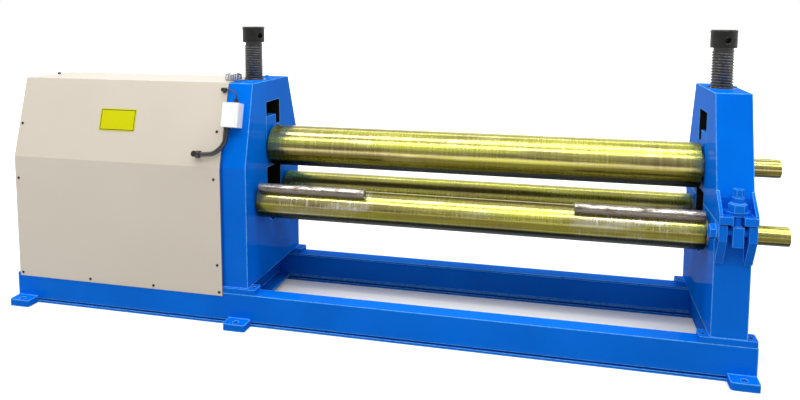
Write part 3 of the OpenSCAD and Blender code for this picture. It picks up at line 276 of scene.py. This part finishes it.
# A round bead along each path, with ripples: welds, ribbed hose and rubber edging
bead = Recipe("bead", radius="Float", step="Float", ripple="Float", ripple_length="Float",
              sides="Int", material="Material")
bead_path = bead.node("GeometryNodeMeshToCurve", {}, {0: bead.input("Geometry")})
bead_path = bead.node("GeometryNodeResampleCurve", {"mode": "LENGTH"}, {
    0: bead_path, "Length": bead.input("step")})
bead_run = bead.node("GeometryNodeSplineParameter", out="Length")
bead_ripple = (bead_run * (2 * math.pi) / bead.input("ripple_length")).wave()
bead_shape = bead.node("GeometryNodeCurveToMesh", {}, {
    "Curve": bead_path,
    "Profile Curve": bead.node("GeometryNodeCurvePrimitiveCircle", {}, {
        "Resolution": bead.input("sides"), "Radius": bead.input("radius")}),
    "Scale": bead_ripple * bead.input("ripple") + 1,
    "Fill Caps": True})
bead.close(bead_shape)


def smooth(points, steps=6):
    """A smooth line through chosen points, as a list of close points."""
    ends = [points[0] * 2 - points[1]] + points + [points[-1] * 2 - points[-2]]
    line = []
    for a, b, c, d in zip(ends, ends[1:], ends[2:], ends[3:]):
        for k in range(steps):
            t = k / steps
            line.append((b * 2 + (c - a) * t + (a * 2 - b * 5 + c * 4 - d) * t ** 2
                         + (b * 3 - a - c * 3 + d) * t ** 3) / 2)
    return line + [points[-1]]


lead_step = 0.001
rib_pitch = 0.004
rib_room = 0.0001


def lead(name, route, diameter, ripple):
    """A cord along a route, with ribs whose height is a share of its radius."""
    path = smooth([Vector(point) for point in route])
    tube = bead.make(name, polylines(name, [path]), "machine", "black_plastic", conduit_black,
                     radius=diameter / 2 - rib_room, step=lead_step, ripple=ripple,
                     ripple_length=rib_pitch, sides=24)
    return tube


conduit_black = Finish("conduit_black", Roughness=0.3, Coat_Weight=0.25, Coat_Roughness=0.1)
conduit_black.set(Base_Color=conduit_black.mix(conduit_black.noise(60), (0.005, 0.005, 0.006),
                                               (0.012, 0.012, 0.014)))
conduit_black.bump(conduit_black.noise(900), 0.0002)
dress(conduit_black, "flexible_conduit", "sensor_cable")
conduit_route = [
    (-0.5600, -0.30678, 0.92012), (-0.5600, -0.31201, 0.89875), (-0.5640, -0.3180, 0.8720),
    (-0.5770, -0.3250, 0.8470), (-0.5960, -0.3320, 0.8280), (-0.6210, -0.3380, 0.8150),
    (-0.6547, -0.34386, 0.81113), (-0.6767, -0.34386, 0.81113)]
sensor_route = [
    (-0.5250, -0.27145, 1.06445), (-0.5250, -0.26979, 1.07125), (-0.5270, -0.2670, 1.0830),
    (-0.5340, -0.2620, 1.0930), (-0.5440, -0.2570, 1.1000), (-0.5570, -0.2530, 1.1030),
    (-0.5777, -0.25010, 1.10291), (-0.5847, -0.25010, 1.10291)]
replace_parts(lead("conduit", conduit_route, 0.022, 0.02), "flexible_conduit")
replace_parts(lead("sensor_lead", sensor_route, 0.007, 0.0), "sensor_cable")


# Studio: a pale floor that runs on into a white background, and a hall round the machine. Its
# light ceiling has three rows of lamps, which draw the lines on the rolls, and its wall in
# front of the machine is dark below, which darkens the rolls' lower half.
def backdrop_ray(tree):
    """1 for rays that show the background, also in metal and through film."""
    seen = [tree.node("ShaderNodeLightPath", out=name)
            for name in ("Is Camera Ray", "Is Glossy Ray", "Is Transmission Ray")]
    return seen[0].at_least(seen[1]).at_least(seen[2])


world = bpy.data.worlds.new("studio")
world.use_nodes = True
sky = Tree(world.node_tree)
sky_light = 0.9
sky_seen = backdrop_ray(sky)
sky.give(world.node_tree.nodes["Background"].inputs["Color"], (1, 1, 1, 1))
sky.give(world.node_tree.nodes["Background"].inputs["Strength"],
         sky_seen * (1 - sky_light) + sky_light)
bpy.context.scene.world = world
bpy.context.scene.view_settings.view_transform = "Standard"

floor_size = 60
floor_drop = 0.0002
floor_mesh = bpy.data.meshes.new("floor")
floor_mesh.from_pydata([(x * floor_size, y * floor_size, -floor_drop)
                        for x, y in ((-1, -1), (1, -1), (1, 1), (-1, 1))], [], [(0, 1, 2, 3)])
floor = bpy.data.objects.new("floor", floor_mesh)
bpy.context.scene.collection.objects.link(floor)
floor_paint = bpy.data.materials.new("floor")
floor_paint.use_nodes = True
floor_tree = Tree(floor_paint.node_tree)
floor_shader = floor_paint.node_tree.nodes["Principled BSDF"]
pale = floor_tree.node("ShaderNodeMix", {"data_type": "RGBA"}, {
    0: backdrop_ray(floor_tree), 6: (0.3, 0.3, 0.3, 1), 7: (1, 1, 1, 1)}, out=2)
floor_tree.give(floor_shader.inputs["Base Color"], pale)
floor_far = floor_tree.length(floor_tree.node("ShaderNodeTexCoord", out="Object"))
floor_shadow_r, floor_white_r = 2.5, 5.0
floor_glow = floor_tree.node("ShaderNodeMapRange", {}, {
    "Value": floor_far, "From Min": floor_shadow_r, "From Max": floor_white_r,
    "To Min": 0.12, "To Max": 1.0})
floor_tree.give(floor_shader.inputs["Emission Color"], floor_glow * backdrop_ray(floor_tree))
floor_tree.give(floor_shader.inputs["Emission Strength"], 1.0)
floor_tree.give(floor_shader.inputs["Roughness"], 0.6)
floor_tree.give(floor_shader.inputs["Specular IOR Level"], 0.2)
floor_mesh.materials.append(floor_paint)

hall_h, hall_x, hall_front, hall_back, wall_dark_h = 5.0, 9.0, -8.5, 7.0, 1.9


def panel(name, corners, glow_low, glow_high):
    """A wall or ceiling of the hall, whose glow grows from the dark height to the top."""
    mesh = bpy.data.meshes.new(name)
    mesh.from_pydata(corners, [], [(0, 1, 2, 3)])
    made = bpy.data.objects.new(name, mesh)
    bpy.context.scene.collection.objects.link(made)
    material = bpy.data.materials.new(name)
    material.use_nodes = True
    tree = Tree(material.node_tree)
    shader = material.node_tree.nodes["Principled BSDF"]
    height = tree.axis(tree.node("ShaderNodeTexCoord", out="Object"), "Z")
    glow = tree.node("ShaderNodeMapRange", {}, {
        "Value": height, "From Min": wall_dark_h, "From Max": hall_h, "To Min": glow_low,
        "To Max": glow_high})
    tree.give(shader.inputs["Base Color"], (0.05, 0.05, 0.05, 1))
    tree.give(shader.inputs["Emission Color"], glow)
    tree.give(shader.inputs["Emission Strength"], 1.0)
    mesh.materials.append(material)
    made.visible_camera = False


panel("hall_ceiling", [(-hall_x, hall_front, hall_h), (hall_x, hall_front, hall_h),
                       (hall_x, hall_back, hall_h), (-hall_x, hall_back, hall_h)],
      glow_low=0.5, glow_high=0.5)
panel("hall_wall", [(-hall_x, hall_front, 0), (hall_x, hall_front, 0),
                    (hall_x, hall_front, hall_h), (-hall_x, hall_front, hall_h)],
      glow_low=0.07, glow_high=0.45)


def softbox(name, place, aim, width, height, power, mirrored=True):
    """A rectangular lamp; one that isn't mirrored lights the paint but not the rolls."""
    lamp = bpy.data.lights.new(name, "AREA")
    lamp.shape = "RECTANGLE"
    lamp.size = width
    lamp.size_y = height
    lamp.energy = power
    lamp_object = bpy.data.objects.new(name, lamp)
    lamp_object.location = place
    lamp_object.rotation_euler = (Vector(aim) - Vector(place)).to_track_quat("-Z", "Y").to_euler()
    lamp_object.visible_glossy = mirrored
    bpy.context.scene.collection.objects.link(lamp_object)


lamp_h = hall_h - 0.15
lamp_x = 0.4
lamp_length = 9.0
for row, lamp_y, lamp_w, watts in (("front", -3.55, 0.8, 190), ("middle", -0.8, 0.8, 190),
                                   ("rear", 2.9, 0.6, 60)):
    softbox("lamps_" + row, (lamp_x, lamp_y, lamp_h), (lamp_x, lamp_y, 0), lamp_length, lamp_w,
            watts)
softbox("fill", (-0.8, -7.4, 2.6), (0, 0, 0.6), width=7.0, height=3.0, power=75,
        mirrored=False)


# Blue enamel: everything that is welded from plate is sprayed in one blue, over plate that
# is slightly uneven, with a painted highlight in pale blue along the sharp edges. Inside the
# slots the colour is painted black, as painted shade in the recess and as grease.
BLUE = (0.0004, 0.158, 0.76)
# Pale blue for the painted highlight along the sharp edges
BLUE_EDGE_HIGHLIGHT = (0.21, 0.62, 1.0)
BLUE_DEEP = (0.0003, 0.136, 0.67)
# Black for the inside of the slots: painted shade for the recess, and grease
GREASE_AND_SHADE = (0.013, 0.011, 0.009)
enamel_coat = 0.07


def blue_enamel(name, edge=0.003, slot=None):
    """Blue paint; slot is the half width, both ends along X and the top of a slot whose inside is
    painted black as shade and grease.
    """
    made = Finish(name, Roughness=0.45, Specular_IOR_Level=0.0, Coat_Weight=enamel_coat,
                  Coat_Roughness=0.05)
    clouds = made.noise(2.6, detail=4.0)
    shade = made.mix(made.range(clouds, 0.35, 0.7), BLUE_DEEP, BLUE)
    rounded = made.round_edges(edge)
    # A painted highlight: the colour turns pale blue along the sharp edges, in patches
    edge_highlight_mask = made.edge_mask(made.round_edges(edge * 2.2), 0.005, 0.12)
    edge_highlight_patches = edge_highlight_mask * made.range(made.noise(55), 0.3, 0.55, 0.5, 1.0)
    painted = made.mix(edge_highlight_patches, shade, BLUE_EDGE_HIGHLIGHT)
    # Inside the slot the colour is painted black and the coat taken off: painted shade for the
    # recess, and grease
    if slot:
        half, x_low, x_high, top = slot
        inside = made.within("Y", -half, half) * made.within("X", x_low, x_high)
        inside = inside * made.within("Z", -1, top)
        painted = made.mix(inside, painted, GREASE_AND_SHADE)
        made.set(Coat_Weight=enamel_coat - inside * enamel_coat)
    peel = made.noise(320, detail=2.0) * 0.35 + made.noise(14, detail=2.0)
    made.set(Base_Color=painted)
    made.bump(peel, 0.0007, rounded)
    return made


enamel = blue_enamel("blue_enamel")
fine_enamel = blue_enamel("blue_enamel_small_parts", edge=0.0015)

# Bed: two deep rails of folded plate on long flats, joined by cross members and standing on
# six foot plates with anchor holes. Everything is welded together and then painted.
dress(enamel, "front_rail", "rear_rail", "cross_members", "foot_plates", "drive_base_plate")


def weld(name, paths, radius=0.0035):
    """Painted runs of weld, which show the ripples of the hand that laid them."""
    bead.make(name, polylines(name, paths), "machine", "blue_paint", fine_enamel,
              radius=radius, step=0.0035, ripple=0.16, ripple_length=0.014, sides=8)


# The bed's weld runs lie on the foot plates, where these stick out from under the rails
bed_welds = []
rail_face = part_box("front_rail")[0].y
foot_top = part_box("foot_plates")[1].z
foot_length = 0.110
foot_places = (-1.670, -0.503, 1.670)
for face in (rail_face, -rail_face):
    for x in foot_places:
        bed_welds.append([(x - foot_length / 2, face, foot_top),
                          (x + foot_length / 2, face, foot_top)])
weld("bed_welds", bed_welds)

# Stands: box frames of thick plate with a bend in the front and rear face, a slot for the
# bearing block, and bars at the foot that are screwed to the bed with sunk screws.
slot_half = 0.0805
paint_lap = 0.001
for stand in ("left_stand", "right_lower_stand", "right_upper_housing"):
    low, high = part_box(stand)
    # The slot box whose inside is painted black: painted shade in the recess, and grease
    shaded_slot = (slot_half, low.x + paint_lap, high.x - paint_lap, high.z - paint_lap)
    dress(blue_enamel(stand + "_enamel", slot=shaded_slot), stand)
dress(fine_enamel, "left_base_bars", "right_base_bars")
stand_welds = []
weld_inset = 0.004
side_weld = 0.055
for bars, stand in (("left_base_bars", "left_stand"), ("right_base_bars", "right_lower_stand")):
    bars_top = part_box(bars)[1].z
    low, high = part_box(stand)
    for face in (low.y, -low.y):
        stand_welds.append([(low.x + weld_inset, face, bars_top),
                            (high.x - weld_inset, face, bars_top)])
    for x in (low.x, high.x):
        for start in (low.y, -low.y - side_weld):
            stand_welds.append([(x, start + weld_inset, bars_top),
                                (x, start + side_weld, bars_top)])
weld("stand_foot_welds", stand_welds, radius=0.003)

# Bearing blocks: steel blocks that slide up and down in the slots, painted on their faces,
# with a hooked lug on top that holds the T-shaped foot of the pressure screw.
dress(fine_enamel, "left_bearing_block", "right_bearing_block")

# Bushes and nuts: turned bronze, flanged against the roll ends, and two tall nuts let into
# the heads of the stands.
bronze = Finish("bronze", Metallic=1.0, Roughness=0.34)
bronze.set(Base_Color=bronze.mix(bronze.noise(24), (0.50, 0.33, 0.14), (0.66, 0.46, 0.22)))
bronze.bump(bronze.noise(600, detail=2.0), 0.0002)
dress(bronze, "left_screw_nut", "right_screw_nut", "bottom_bushes_left",
      "bottom_bushes_right", "top_bushes")

# Pressure screws: a trapezoidal thread of 12 mm pitch cut on a 91 mm steel bar, oiled and
# blackened. A T-shaped foot below hangs in the block's lug, and a spigot above carries the
# collar.
SCREW_DARK = (0.045, 0.044, 0.042)
SCREW_BRIGHT = (0.20, 0.197, 0.19)


def screw_finish(name, axis_x, core_r, crest_r):
    """Dark steel that is rubbed bright in patches on the crests of the thread."""
    made = Finish(name, Metallic=0.55, Roughness=0.5)
    out = made.length(made.spread((1, 1, 0), (axis_x, 0, 0)))
    rubbed = made.range(out, core_r + 0.001, crest_r) * made.range(
        made.noise(85, detail=6.0, rough=0.7), 0.36, 0.62, 0.1, 1.0)
    made.set(Base_Color=made.mix(rubbed, SCREW_DARK, SCREW_BRIGHT))
    made.bump(made.noise(260), 0.0004)
    return made


# The ridge of the thread, wound round the core mesh that the recipe is given
thread = Recipe("thread", core="Float", height="Float", turns="Float", start="Float",
                crest="Float", root="Float", depth="Float", material="Material")
thread_line = thread.node("GeometryNodeCurveSpiral", {}, {
    "Resolution": 72, "Rotations": thread.input("turns"), "Start Radius": thread.input("core"),
    "End Radius": thread.input("core"), "Height": thread.input("height"), "Reverse": False})
thread_line = thread.node("GeometryNodeSetCurveNormal", {"mode": "Z_UP"}, {0: thread_line})
thread_section = thread.node("GeometryNodeCurvePrimitiveQuadrilateral", {"mode": "TRAPEZOID"}, {
    "Bottom Width": thread.input("root"), "Top Width": thread.input("crest"),
    "Height": thread.input("depth"), "Offset": 0.0})
thread_ridge = thread.node("GeometryNodeCurveToMesh", {}, {
    "Curve": thread_line, "Profile Curve": thread_section, "Fill Caps": True})
thread_up = thread.node("ShaderNodeCombineXYZ", {}, {"Z": thread.input("start")})
thread_ridge = thread.node("GeometryNodeTransform", {}, {0: thread_ridge,
                                                        "Translation": thread_up})
thread_join = thread.tree.nodes.new("GeometryNodeJoinGeometry")
thread.tree.links.new(thread_ridge.out, thread_join.inputs[0])
thread.tree.links.new(thread.input("Geometry").out, thread_join.inputs[0])
thread.close(Socket(thread, thread_join.outputs[0]), smooth=False)


def lathe(name, outline, steps=64):
    """A closed body turned about the Z axis from (radius, height) points."""
    made = bmesh.new()
    rings = []
    for radius, height in outline:
        count = steps if radius > 0 else 1
        turns = [2 * math.pi * k / steps for k in range(count)]
        rings.append([made.verts.new((radius * math.cos(turn), radius * math.sin(turn), height))
                      for turn in turns])
    for lower, upper in zip(rings, rings[1:]):
        for k in range(steps):
            j = (k + 1) % steps
            corners = [lower[k % len(lower)], lower[j % len(lower)],
                       upper[j % len(upper)], upper[k % len(upper)]]
            made.faces.new(list(dict.fromkeys(corners)))
    bmesh.ops.recalc_face_normals(made, faces=made.faces)
    mesh = bpy.data.meshes.new(name)
    made.to_mesh(mesh)
    made.free()
    return mesh


thread_pitch = 0.012
thread_depth = 0.005
thread_sink = 0.0002
thread_runout = 0.6 * thread_pitch
crest_w, root_w = 0.0042, 0.0082
foot_r, foot_t, neck_r, neck_room, spigot_r = 0.032, 0.015, 0.022, 0.006, 0.030
for side in ("left", "right"):
    low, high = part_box(side + "_pressure_screw")
    axis_x = (low.x + high.x) / 2
    screw_r = (high.x - low.x) / 2
    core_r = screw_r - thread_depth
    collar_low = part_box(side + "_screw_cap")[0].z
    neck_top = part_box(side + "_bearing_block")[1].z + neck_room
    outline = [(0, low.z), (foot_r, low.z), (foot_r, low.z + foot_t), (neck_r, low.z + foot_t),
               (neck_r, neck_top), (core_r, neck_top), (core_r, collar_low),
               (spigot_r, collar_low), (spigot_r, high.z), (0, high.z)]
    core = lathe(side + "_screw_core", outline)
    steel = screw_finish(side + "_screw_steel", axis_x, core_r, screw_r)
    turns = math.floor((collar_low - neck_top) / thread_pitch) - 1
    piece = thread.make(side + "_screw_thread", core, side + "_screw", "screw_steel",
                        steel, core=core_r + thread_depth / 2 - thread_sink,
                        height=turns * thread_pitch, turns=float(turns),
                        start=neck_top + thread_runout, crest=crest_w, root=root_w,
                        depth=thread_depth)
    piece.data.transform(Matrix.Translation((axis_x, 0, 0)))
    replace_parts(piece, side + "_pressure_screw")
    dress(steel, side + "_pressure_screw")

# Collars: blackened steel, turned, with holes for a tommy bar, and a bright rim from wear and
# a painted highlight. The screws of the base bars are of the same black steel, and the
# heads' lock bolts and the hinge pin are painted over with their stand.
black_steel = Finish("black_steel", Metallic=0.3, Roughness=0.42,
                     Specular_IOR_Level=0.25)
rounded_black = black_steel.round_edges(0.0022)
# Pale along the edges, in patches: wear and a painted highlight
black_steel.set(Base_Color=black_steel.mix(
    black_steel.edge_mask(rounded_black) * black_steel.range(black_steel.noise(70), 0.3, 0.6),
    black_steel.mix(black_steel.noise(30, detail=4.0), (0.007, 0.007, 0.007),
                    (0.022, 0.021, 0.019)), (0.36, 0.35, 0.34)))
black_steel.bump(black_steel.noise(420, (1, 1, 4)), 0.0003, rounded_black)
dress(black_steel, "left_screw_cap", "right_screw_cap", "base_bolts")
dress(fine_enamel, "head_bolts", "hinge_pin")

# Rolls: forged steel bars, turned and ground, and brushed with a yellow-green preserving
# oil that dries in long streaks. Their lower part is painted dark by height, as painted shade
# with a lighter painted reflection band. Torn packing film still clings to the front roll
# where the loose bars are.
STEEL_BROWN = (0.40, 0.34, 0.12)
STEEL_GREEN = (0.64, 0.66, 0.08)
STEEL_PALE = (0.82, 0.81, 0.36)
FILM_WHITE = (0.95, 0.94, 0.86)
# Painted shade by height: black on the underside, then a painted reflection band, brown and then
# clear
SHADE_BY_HEIGHT = ((0.0, (0.03, 0.035, 0.03)), (0.21, (0.045, 0.05, 0.05)), (0.26, (0.40, 0.38, 0.34)),
           (0.30, (0.22, 0.20, 0.14)), (0.46, (0.20, 0.18, 0.12)), (0.53, (0.82, 0.75, 0.92)),
           (0.75, (1, 1, 1)))
film_fray = 0.04


def roll_finish(node, shade_rise=0.0, film=()):
    """Oiled steel with painted shade on its lower part, raised higher per roll; film lists
    wrapped stretches along X.
    """
    low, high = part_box(node)
    made = Finish(node + "_steel", Metallic=0.86, Specular_IOR_Level=0.3)
    streaks = made.noise(1.0, (1.6, 34, 34), detail=5.0, rough=0.6)
    rings = made.noise(1.0, (150, 5, 5), detail=4.0, rough=0.65)
    oily = made.mix(made.range(streaks, 0.36, 0.64), STEEL_BROWN, STEEL_GREEN)
    blots = made.range(made.noise(5.0, (1, 3, 3), detail=5.0), 0.56, 0.72)
    grain = made.range(rings, 0.35, 0.7)
    tone = made.mix(blots * 0.5 + grain * 0.3, oily, STEEL_PALE)
    rough = made.range(streaks + rings * 0.5, 0.5, 1.0, 0.16, 0.30)
    along = made.axis(made.place, "X") + (made.noise(30, detail=4.0) - 0.5) * 0.12
    for x_low, x_high in film:
        wrapped = made.range(along, x_low, x_low + film_fray) * made.range(
            along, x_high - film_fray, x_high, 1.0, 0.0)
        haze = made.range(made.noise(4.0, (1, 6, 6), detail=6.0), 0.40, 0.62)
        threads = made.range(made.noise(1.0, (190, 9, 9), detail=6.0, rough=0.8), 0.52, 0.70)
        shreds = made.range(made.noise(24, (2.2, 0.5, 0.5), detail=7.0, rough=0.75), 0.54, 0.63)
        cover = (haze * 0.35 + threads * haze * 0.55 + shreds * 0.55) * wrapped
        tone = made.mix(cover, tone, FILM_WHITE)
        rough = rough + cover * 0.22
    outward = made.node("ShaderNodeVectorMath", {"operation": "NORMALIZE"}, {
        0: made.spread((0, 1, 1), (0, (low.y + high.y) / 2, (low.z + high.z) / 2))})
    height = made.axis(outward, "Z") * 0.5 + 0.5 - shade_rise + (streaks - 0.5) * 0.05
    # Painted shade and painted reflection: the colour is darkened by height about the roll's axis
    painted_shade_ramp = made.node("ShaderNodeValToRGB", {"stops": SHADE_BY_HEIGHT}, {0: height})
    tone = made.node("ShaderNodeMix", {"data_type": "RGBA", "blend_type": "MULTIPLY"},
                     {0: 1.0, 6: tone, 7: painted_shade_ramp}, out=2)
    made.set(Base_Color=tone, Roughness=rough)
    made.bump(rings + streaks * 0.4, 0.00012, made.round_edges(0.002))
    dress(made, node)


roll_finish("top_roll", shade_rise=-0.035)
roll_finish("rear_bottom_roll", shade_rise=0.13)
roll_finish("front_bottom_roll", shade_rise=0.06, film=((-0.36, 0.12), (0.98, 1.50)))

# Loose bars: two lengths of round bar, rolled and only roughly cleaned, that lie against
# the front roll at both ends; dark scale shows between bright rubbed patches. Their colour is
# painted lighter on top and darker below, as painted light and shade.
bar_steel = Finish("bar_steel", Metallic=0.9)
bar_low, bar_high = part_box("loose_bars")
bar_axis_z = (bar_low.z + bar_high.z) / 2
bar_r = (bar_high.z - bar_low.z) / 2
BAR_SCALE = (0.13, 0.11, 0.085)
# Painted shade for the underside and painted light for the top of the clean steel
BAR_PAINTED_SHADE = (0.13, 0.105, 0.08)
BAR_CLEAN_PAINTED_LIGHT = (0.76, 0.70, 0.63)
scale_mask = bar_steel.range(bar_steel.noise(30, (0.5, 1.8, 1.8), detail=7.0, rough=0.8),
                             0.40, 0.62)
# Painted light and shade: the bar's colour is lighter above its axis and darker below
bar_painted_light = bar_steel.range(bar_steel.axis(bar_steel.place, "Z"), bar_axis_z - bar_r * 0.2,
                          bar_axis_z + bar_r * 0.7)
clean_lit_and_shaded = bar_steel.mix(bar_painted_light, BAR_PAINTED_SHADE, BAR_CLEAN_PAINTED_LIGHT)
bar_steel.set(Base_Color=bar_steel.mix(scale_mask, clean_lit_and_shaded, BAR_SCALE),
              Roughness=bar_steel.range(scale_mask, 0.0, 1.0, 0.26, 0.42))
bar_steel.bump(bar_steel.noise(160, detail=4.0), 0.0004, bar_steel.round_edges(0.0015))
dress(bar_steel, "loose_bars")

# Drive train: cast iron gears, pulleys and gearbox, a finned motor and three V-belts, all
# behind the cabinet's sheets.
cast_iron = Finish("cast_iron", Metallic=0.8, Roughness=0.5)
cast_iron.set(Base_Color=cast_iron.mix(cast_iron.noise(30), (0.12, 0.13, 0.14),
                                       (0.22, 0.23, 0.24)))
cast_iron.bump(cast_iron.noise(300), 0.0006)
dress(cast_iron, "front_roll_gear", "rear_roll_gear", "drive_pinion", "gearbox_pulley",
      "motor_pulley")
machine_grey = Finish("machine_grey", Roughness=0.45)
machine_grey.set(Base_Color=machine_grey.mix(machine_grey.noise(9), (0.10, 0.13, 0.15),
                                             (0.14, 0.17, 0.19)))
machine_grey.bump(machine_grey.noise(240), 0.0008, machine_grey.round_edges(0.003))
dress(machine_grey, "gearbox_case", "gearbox_feet", "motor_body", "motor_fan_cover",
      "motor_terminal_box")
shaft_steel = Finish("shaft_steel", Metallic=1.0, Roughness=0.28)
shaft_steel.set(Base_Color=shaft_steel.mix(shaft_steel.noise(12, (6, 1, 1)),
                                           (0.38, 0.37, 0.35), (0.55, 0.54, 0.52)))
shaft_steel.bump(shaft_steel.noise(500, (1, 0.2, 0.2)), 0.0001)
dress(shaft_steel, "output_shaft", "input_shaft", "motor_shaft")
rubber = Finish("rubber", Roughness=0.55)
rubber.set(Base_Color=rubber.mix(rubber.noise(60), (0.012, 0.012, 0.013),
                                 (0.03, 0.03, 0.032)))
rubber.bump(rubber.noise(700), 0.0003)
dress(rubber, "v_belts")

# Clamp: a slotted plate with two gussets on the upper housing, and a swing bolt on a pin
# between two ears of the lower stand; its nut presses a half-round pad on the plate.
dress(fine_enamel, "clamp_bracket", "clamp_clevis", "clevis_pin", "eye_bolt", "clamp_washer",
      "clamp_nut")
clamp_low, clamp_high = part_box("clamp_bracket")
ear_low, ear_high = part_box("clamp_clevis")
stand_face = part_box("right_lower_stand")[0].y
clamp_plate_t, gusset_t, ear_t = 0.030, 0.012, 0.030
ear_foot_h = 0.496
weld_gap = 0.002
plate_over = clamp_low.z + clamp_plate_t
inner_low, inner_high = clamp_low.x + gusset_t, clamp_high.x - gusset_t
clamp_welds = [[(inner_low + weld_gap, stand_face, plate_over),
                (inner_high - weld_gap, stand_face, plate_over)]]
for x in (inner_low, inner_high):
    clamp_welds.append([(x, clamp_low.y + 4 * weld_gap, plate_over),
                        (x, stand_face - weld_gap, plate_over)])
for x in (ear_low.x, ear_low.x + ear_t, ear_high.x - ear_t, ear_high.x):
    clamp_welds.append([(x, stand_face, ear_foot_h),
                        (x, stand_face, ear_high.z - 2 * weld_gap)])
weld("clamp_welds", clamp_welds, radius=0.0025)

# Cabinet: three covers of sheet steel, bent and powder-coated in a warm light grey, held by
# dark dome screws on a blue angle frame; the front sheet laps over the left stand.
SHEET = (0.595, 0.535, 0.445)
SHEET_LIGHT = (0.625, 0.565, 0.475)
powder = Finish("powder_coat", Roughness=0.42, Coat_Weight=0.25, Coat_Roughness=0.3)
powder_rounded = powder.round_edges(0.003)
powder_tone = powder.mix(powder.range(powder.noise(1.4, detail=4.0), 0.3, 0.7), SHEET,
                         SHEET_LIGHT)
# The bends are painted lighter along their edges: a painted highlight
powder.set(Base_Color=powder.mix(powder.edge_mask(powder_rounded) * 0.5, powder_tone,
                                 (0.80, 0.75, 0.67)))
powder.bump(powder.noise(650, detail=2.0) * 0.12 + powder.noise(3.0, detail=2.0), 0.0012,
            powder_rounded)
dress(powder, "front_cover", "rear_cover", "end_cover")
dress(fine_enamel, "cabinet_frame")
dress(black_steel, "cover_screws")

# Edge strip: a dark brown strip, shaped like rubber edging, runs along the front sheet's free
# edge where it laps over the stand; it stands for the shadow line of the gap there, a painted
# shadow. On top it stops at the bite for the pressure screw and runs on behind.
cover_low, cover_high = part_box("front_cover")
# Dark brown for the painted shadow line along the sheet's edge
edge_rubber = Finish("edge_rubber", Roughness=0.6)
edge_rubber.set(Base_Color=edge_rubber.mix(edge_rubber.noise(80), (0.05, 0.04, 0.032),
                                           (0.10, 0.085, 0.07)))
sheet_mid = 0.0013
cover_bend_h = 0.748
cover_top_y = -0.223
screw_bite = 0.047
strip_end = 0.002
edge_y = cover_low.y + sheet_mid
edge_z = cover_high.z - sheet_mid
edge_paths = [[(cover_high.x, edge_y, cover_low.z + strip_end),
               (cover_high.x, edge_y, cover_bend_h),
               (cover_high.x, cover_top_y, edge_z),
               (cover_high.x, -screw_bite, edge_z)],
              [(cover_high.x, screw_bite, edge_z),
               (cover_high.x, cover_high.y - 2 * strip_end, edge_z)]]
bead.make("cover_edge_strip", polylines("cover_edge_strip", edge_paths), "machine",
          "belt_rubber", edge_rubber, radius=0.0019, step=0.02, ripple=0.0,
          ripple_length=1.0, sides=10)

# Data plate: a yellow sheet of enamelled tin, stuck flat on the front sheet and left blank
# but for a thin printed frame.
plate = Finish("yellow_plate", Roughness=0.4, Specular_IOR_Level=0.1)
plate_low, plate_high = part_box("data_plate")
plate_mid = (plate_low + plate_high) / 2
plate_half_x = (plate_high.x - plate_low.x) / 2
plate_half_z = (plate_high.z - plate_low.z) / 2
frame_inset = 0.006
frame_w = 0.0016
plate_span = plate.node("ShaderNodeVectorMath", {"operation": "ABSOLUTE"}, {
    0: plate.spread((1, 0, 1), plate_mid)})
plate_across = plate.axis(plate_span, "X") - plate_half_x
plate_up = plate.axis(plate_span, "Z") - plate_half_z
plate_edge = plate_across.at_least(plate_up) + frame_inset
frame_line = plate_edge.sum("COMPARE", plate_edge, 0.0, frame_w)
plate_tone = plate.mix(plate.noise(20), (0.57, 0.56, 0.001), (0.61, 0.60, 0.002))
plate.set(Base_Color=plate.mix(frame_line, plate_tone, (0.03, 0.03, 0.01)))
plate.bump(plate.noise(40), 0.0005, plate.round_edges(0.001))
dress(plate, "data_plate")

# Filler cap: an oil cap of cast alloy on the cabinet's top, polished and left bare. Painted
# shade darkens the flutes round its rim.
alloy = Finish("cap_alloy", Metallic=1.0, Roughness=0.22)
cap_low, cap_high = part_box("oil_cap")
cap_mid = (cap_low + cap_high) / 2
cap_flutes = 28
cap_spot = alloy.spread((1, 1, 0), cap_mid)
cap_y = alloy.axis(cap_spot, "Y")
cap_turn = cap_y.sum("ARCTAN2", cap_y, alloy.axis(cap_spot, "X"))
cap_rim = alloy.range(alloy.length(cap_spot), 0.034, 0.038)
# Painted shade in the grooves of the flutes round the rim
cap_flute_shade = alloy.range((cap_turn * cap_flutes).wave(), -0.5, 0.6) * cap_rim
alloy.set(Base_Color=alloy.mix(cap_flute_shade, alloy.mix(alloy.noise(60), (0.62, 0.63, 0.65),
                                                   (0.80, 0.81, 0.83)), (0.06, 0.06, 0.065)))
alloy.bump(alloy.noise(300), 0.0003, alloy.round_edges(0.0012))
dress(alloy, "oil_cap")

# Switch box: a white moulded box screwed to the left stand, with its lid in front. Black
# plastic glands are screwed into it above and below, and elbows into the cabinet's sheet.
white = Finish("white_plastic", Roughness=0.3, Coat_Weight=0.3, Coat_Roughness=0.1)
white.set(Base_Color=white.mix(white.noise(12), (0.86, 0.86, 0.85), (0.90, 0.90, 0.89)))
white.bump(white.noise(400), 0.0002, white.round_edges(0.003))
dress(white, "switch_box", "switch_box_lid")
gland_black = Finish("gland_black", Roughness=0.4)
gland_black.set(Base_Color=gland_black.mix(gland_black.noise(40), (0.006, 0.006, 0.007),
                                           (0.014, 0.014, 0.014)))
gland_black.bump(gland_black.noise(300), 0.0003, gland_black.round_edges(0.001))
dress(gland_black, "cable_glands")
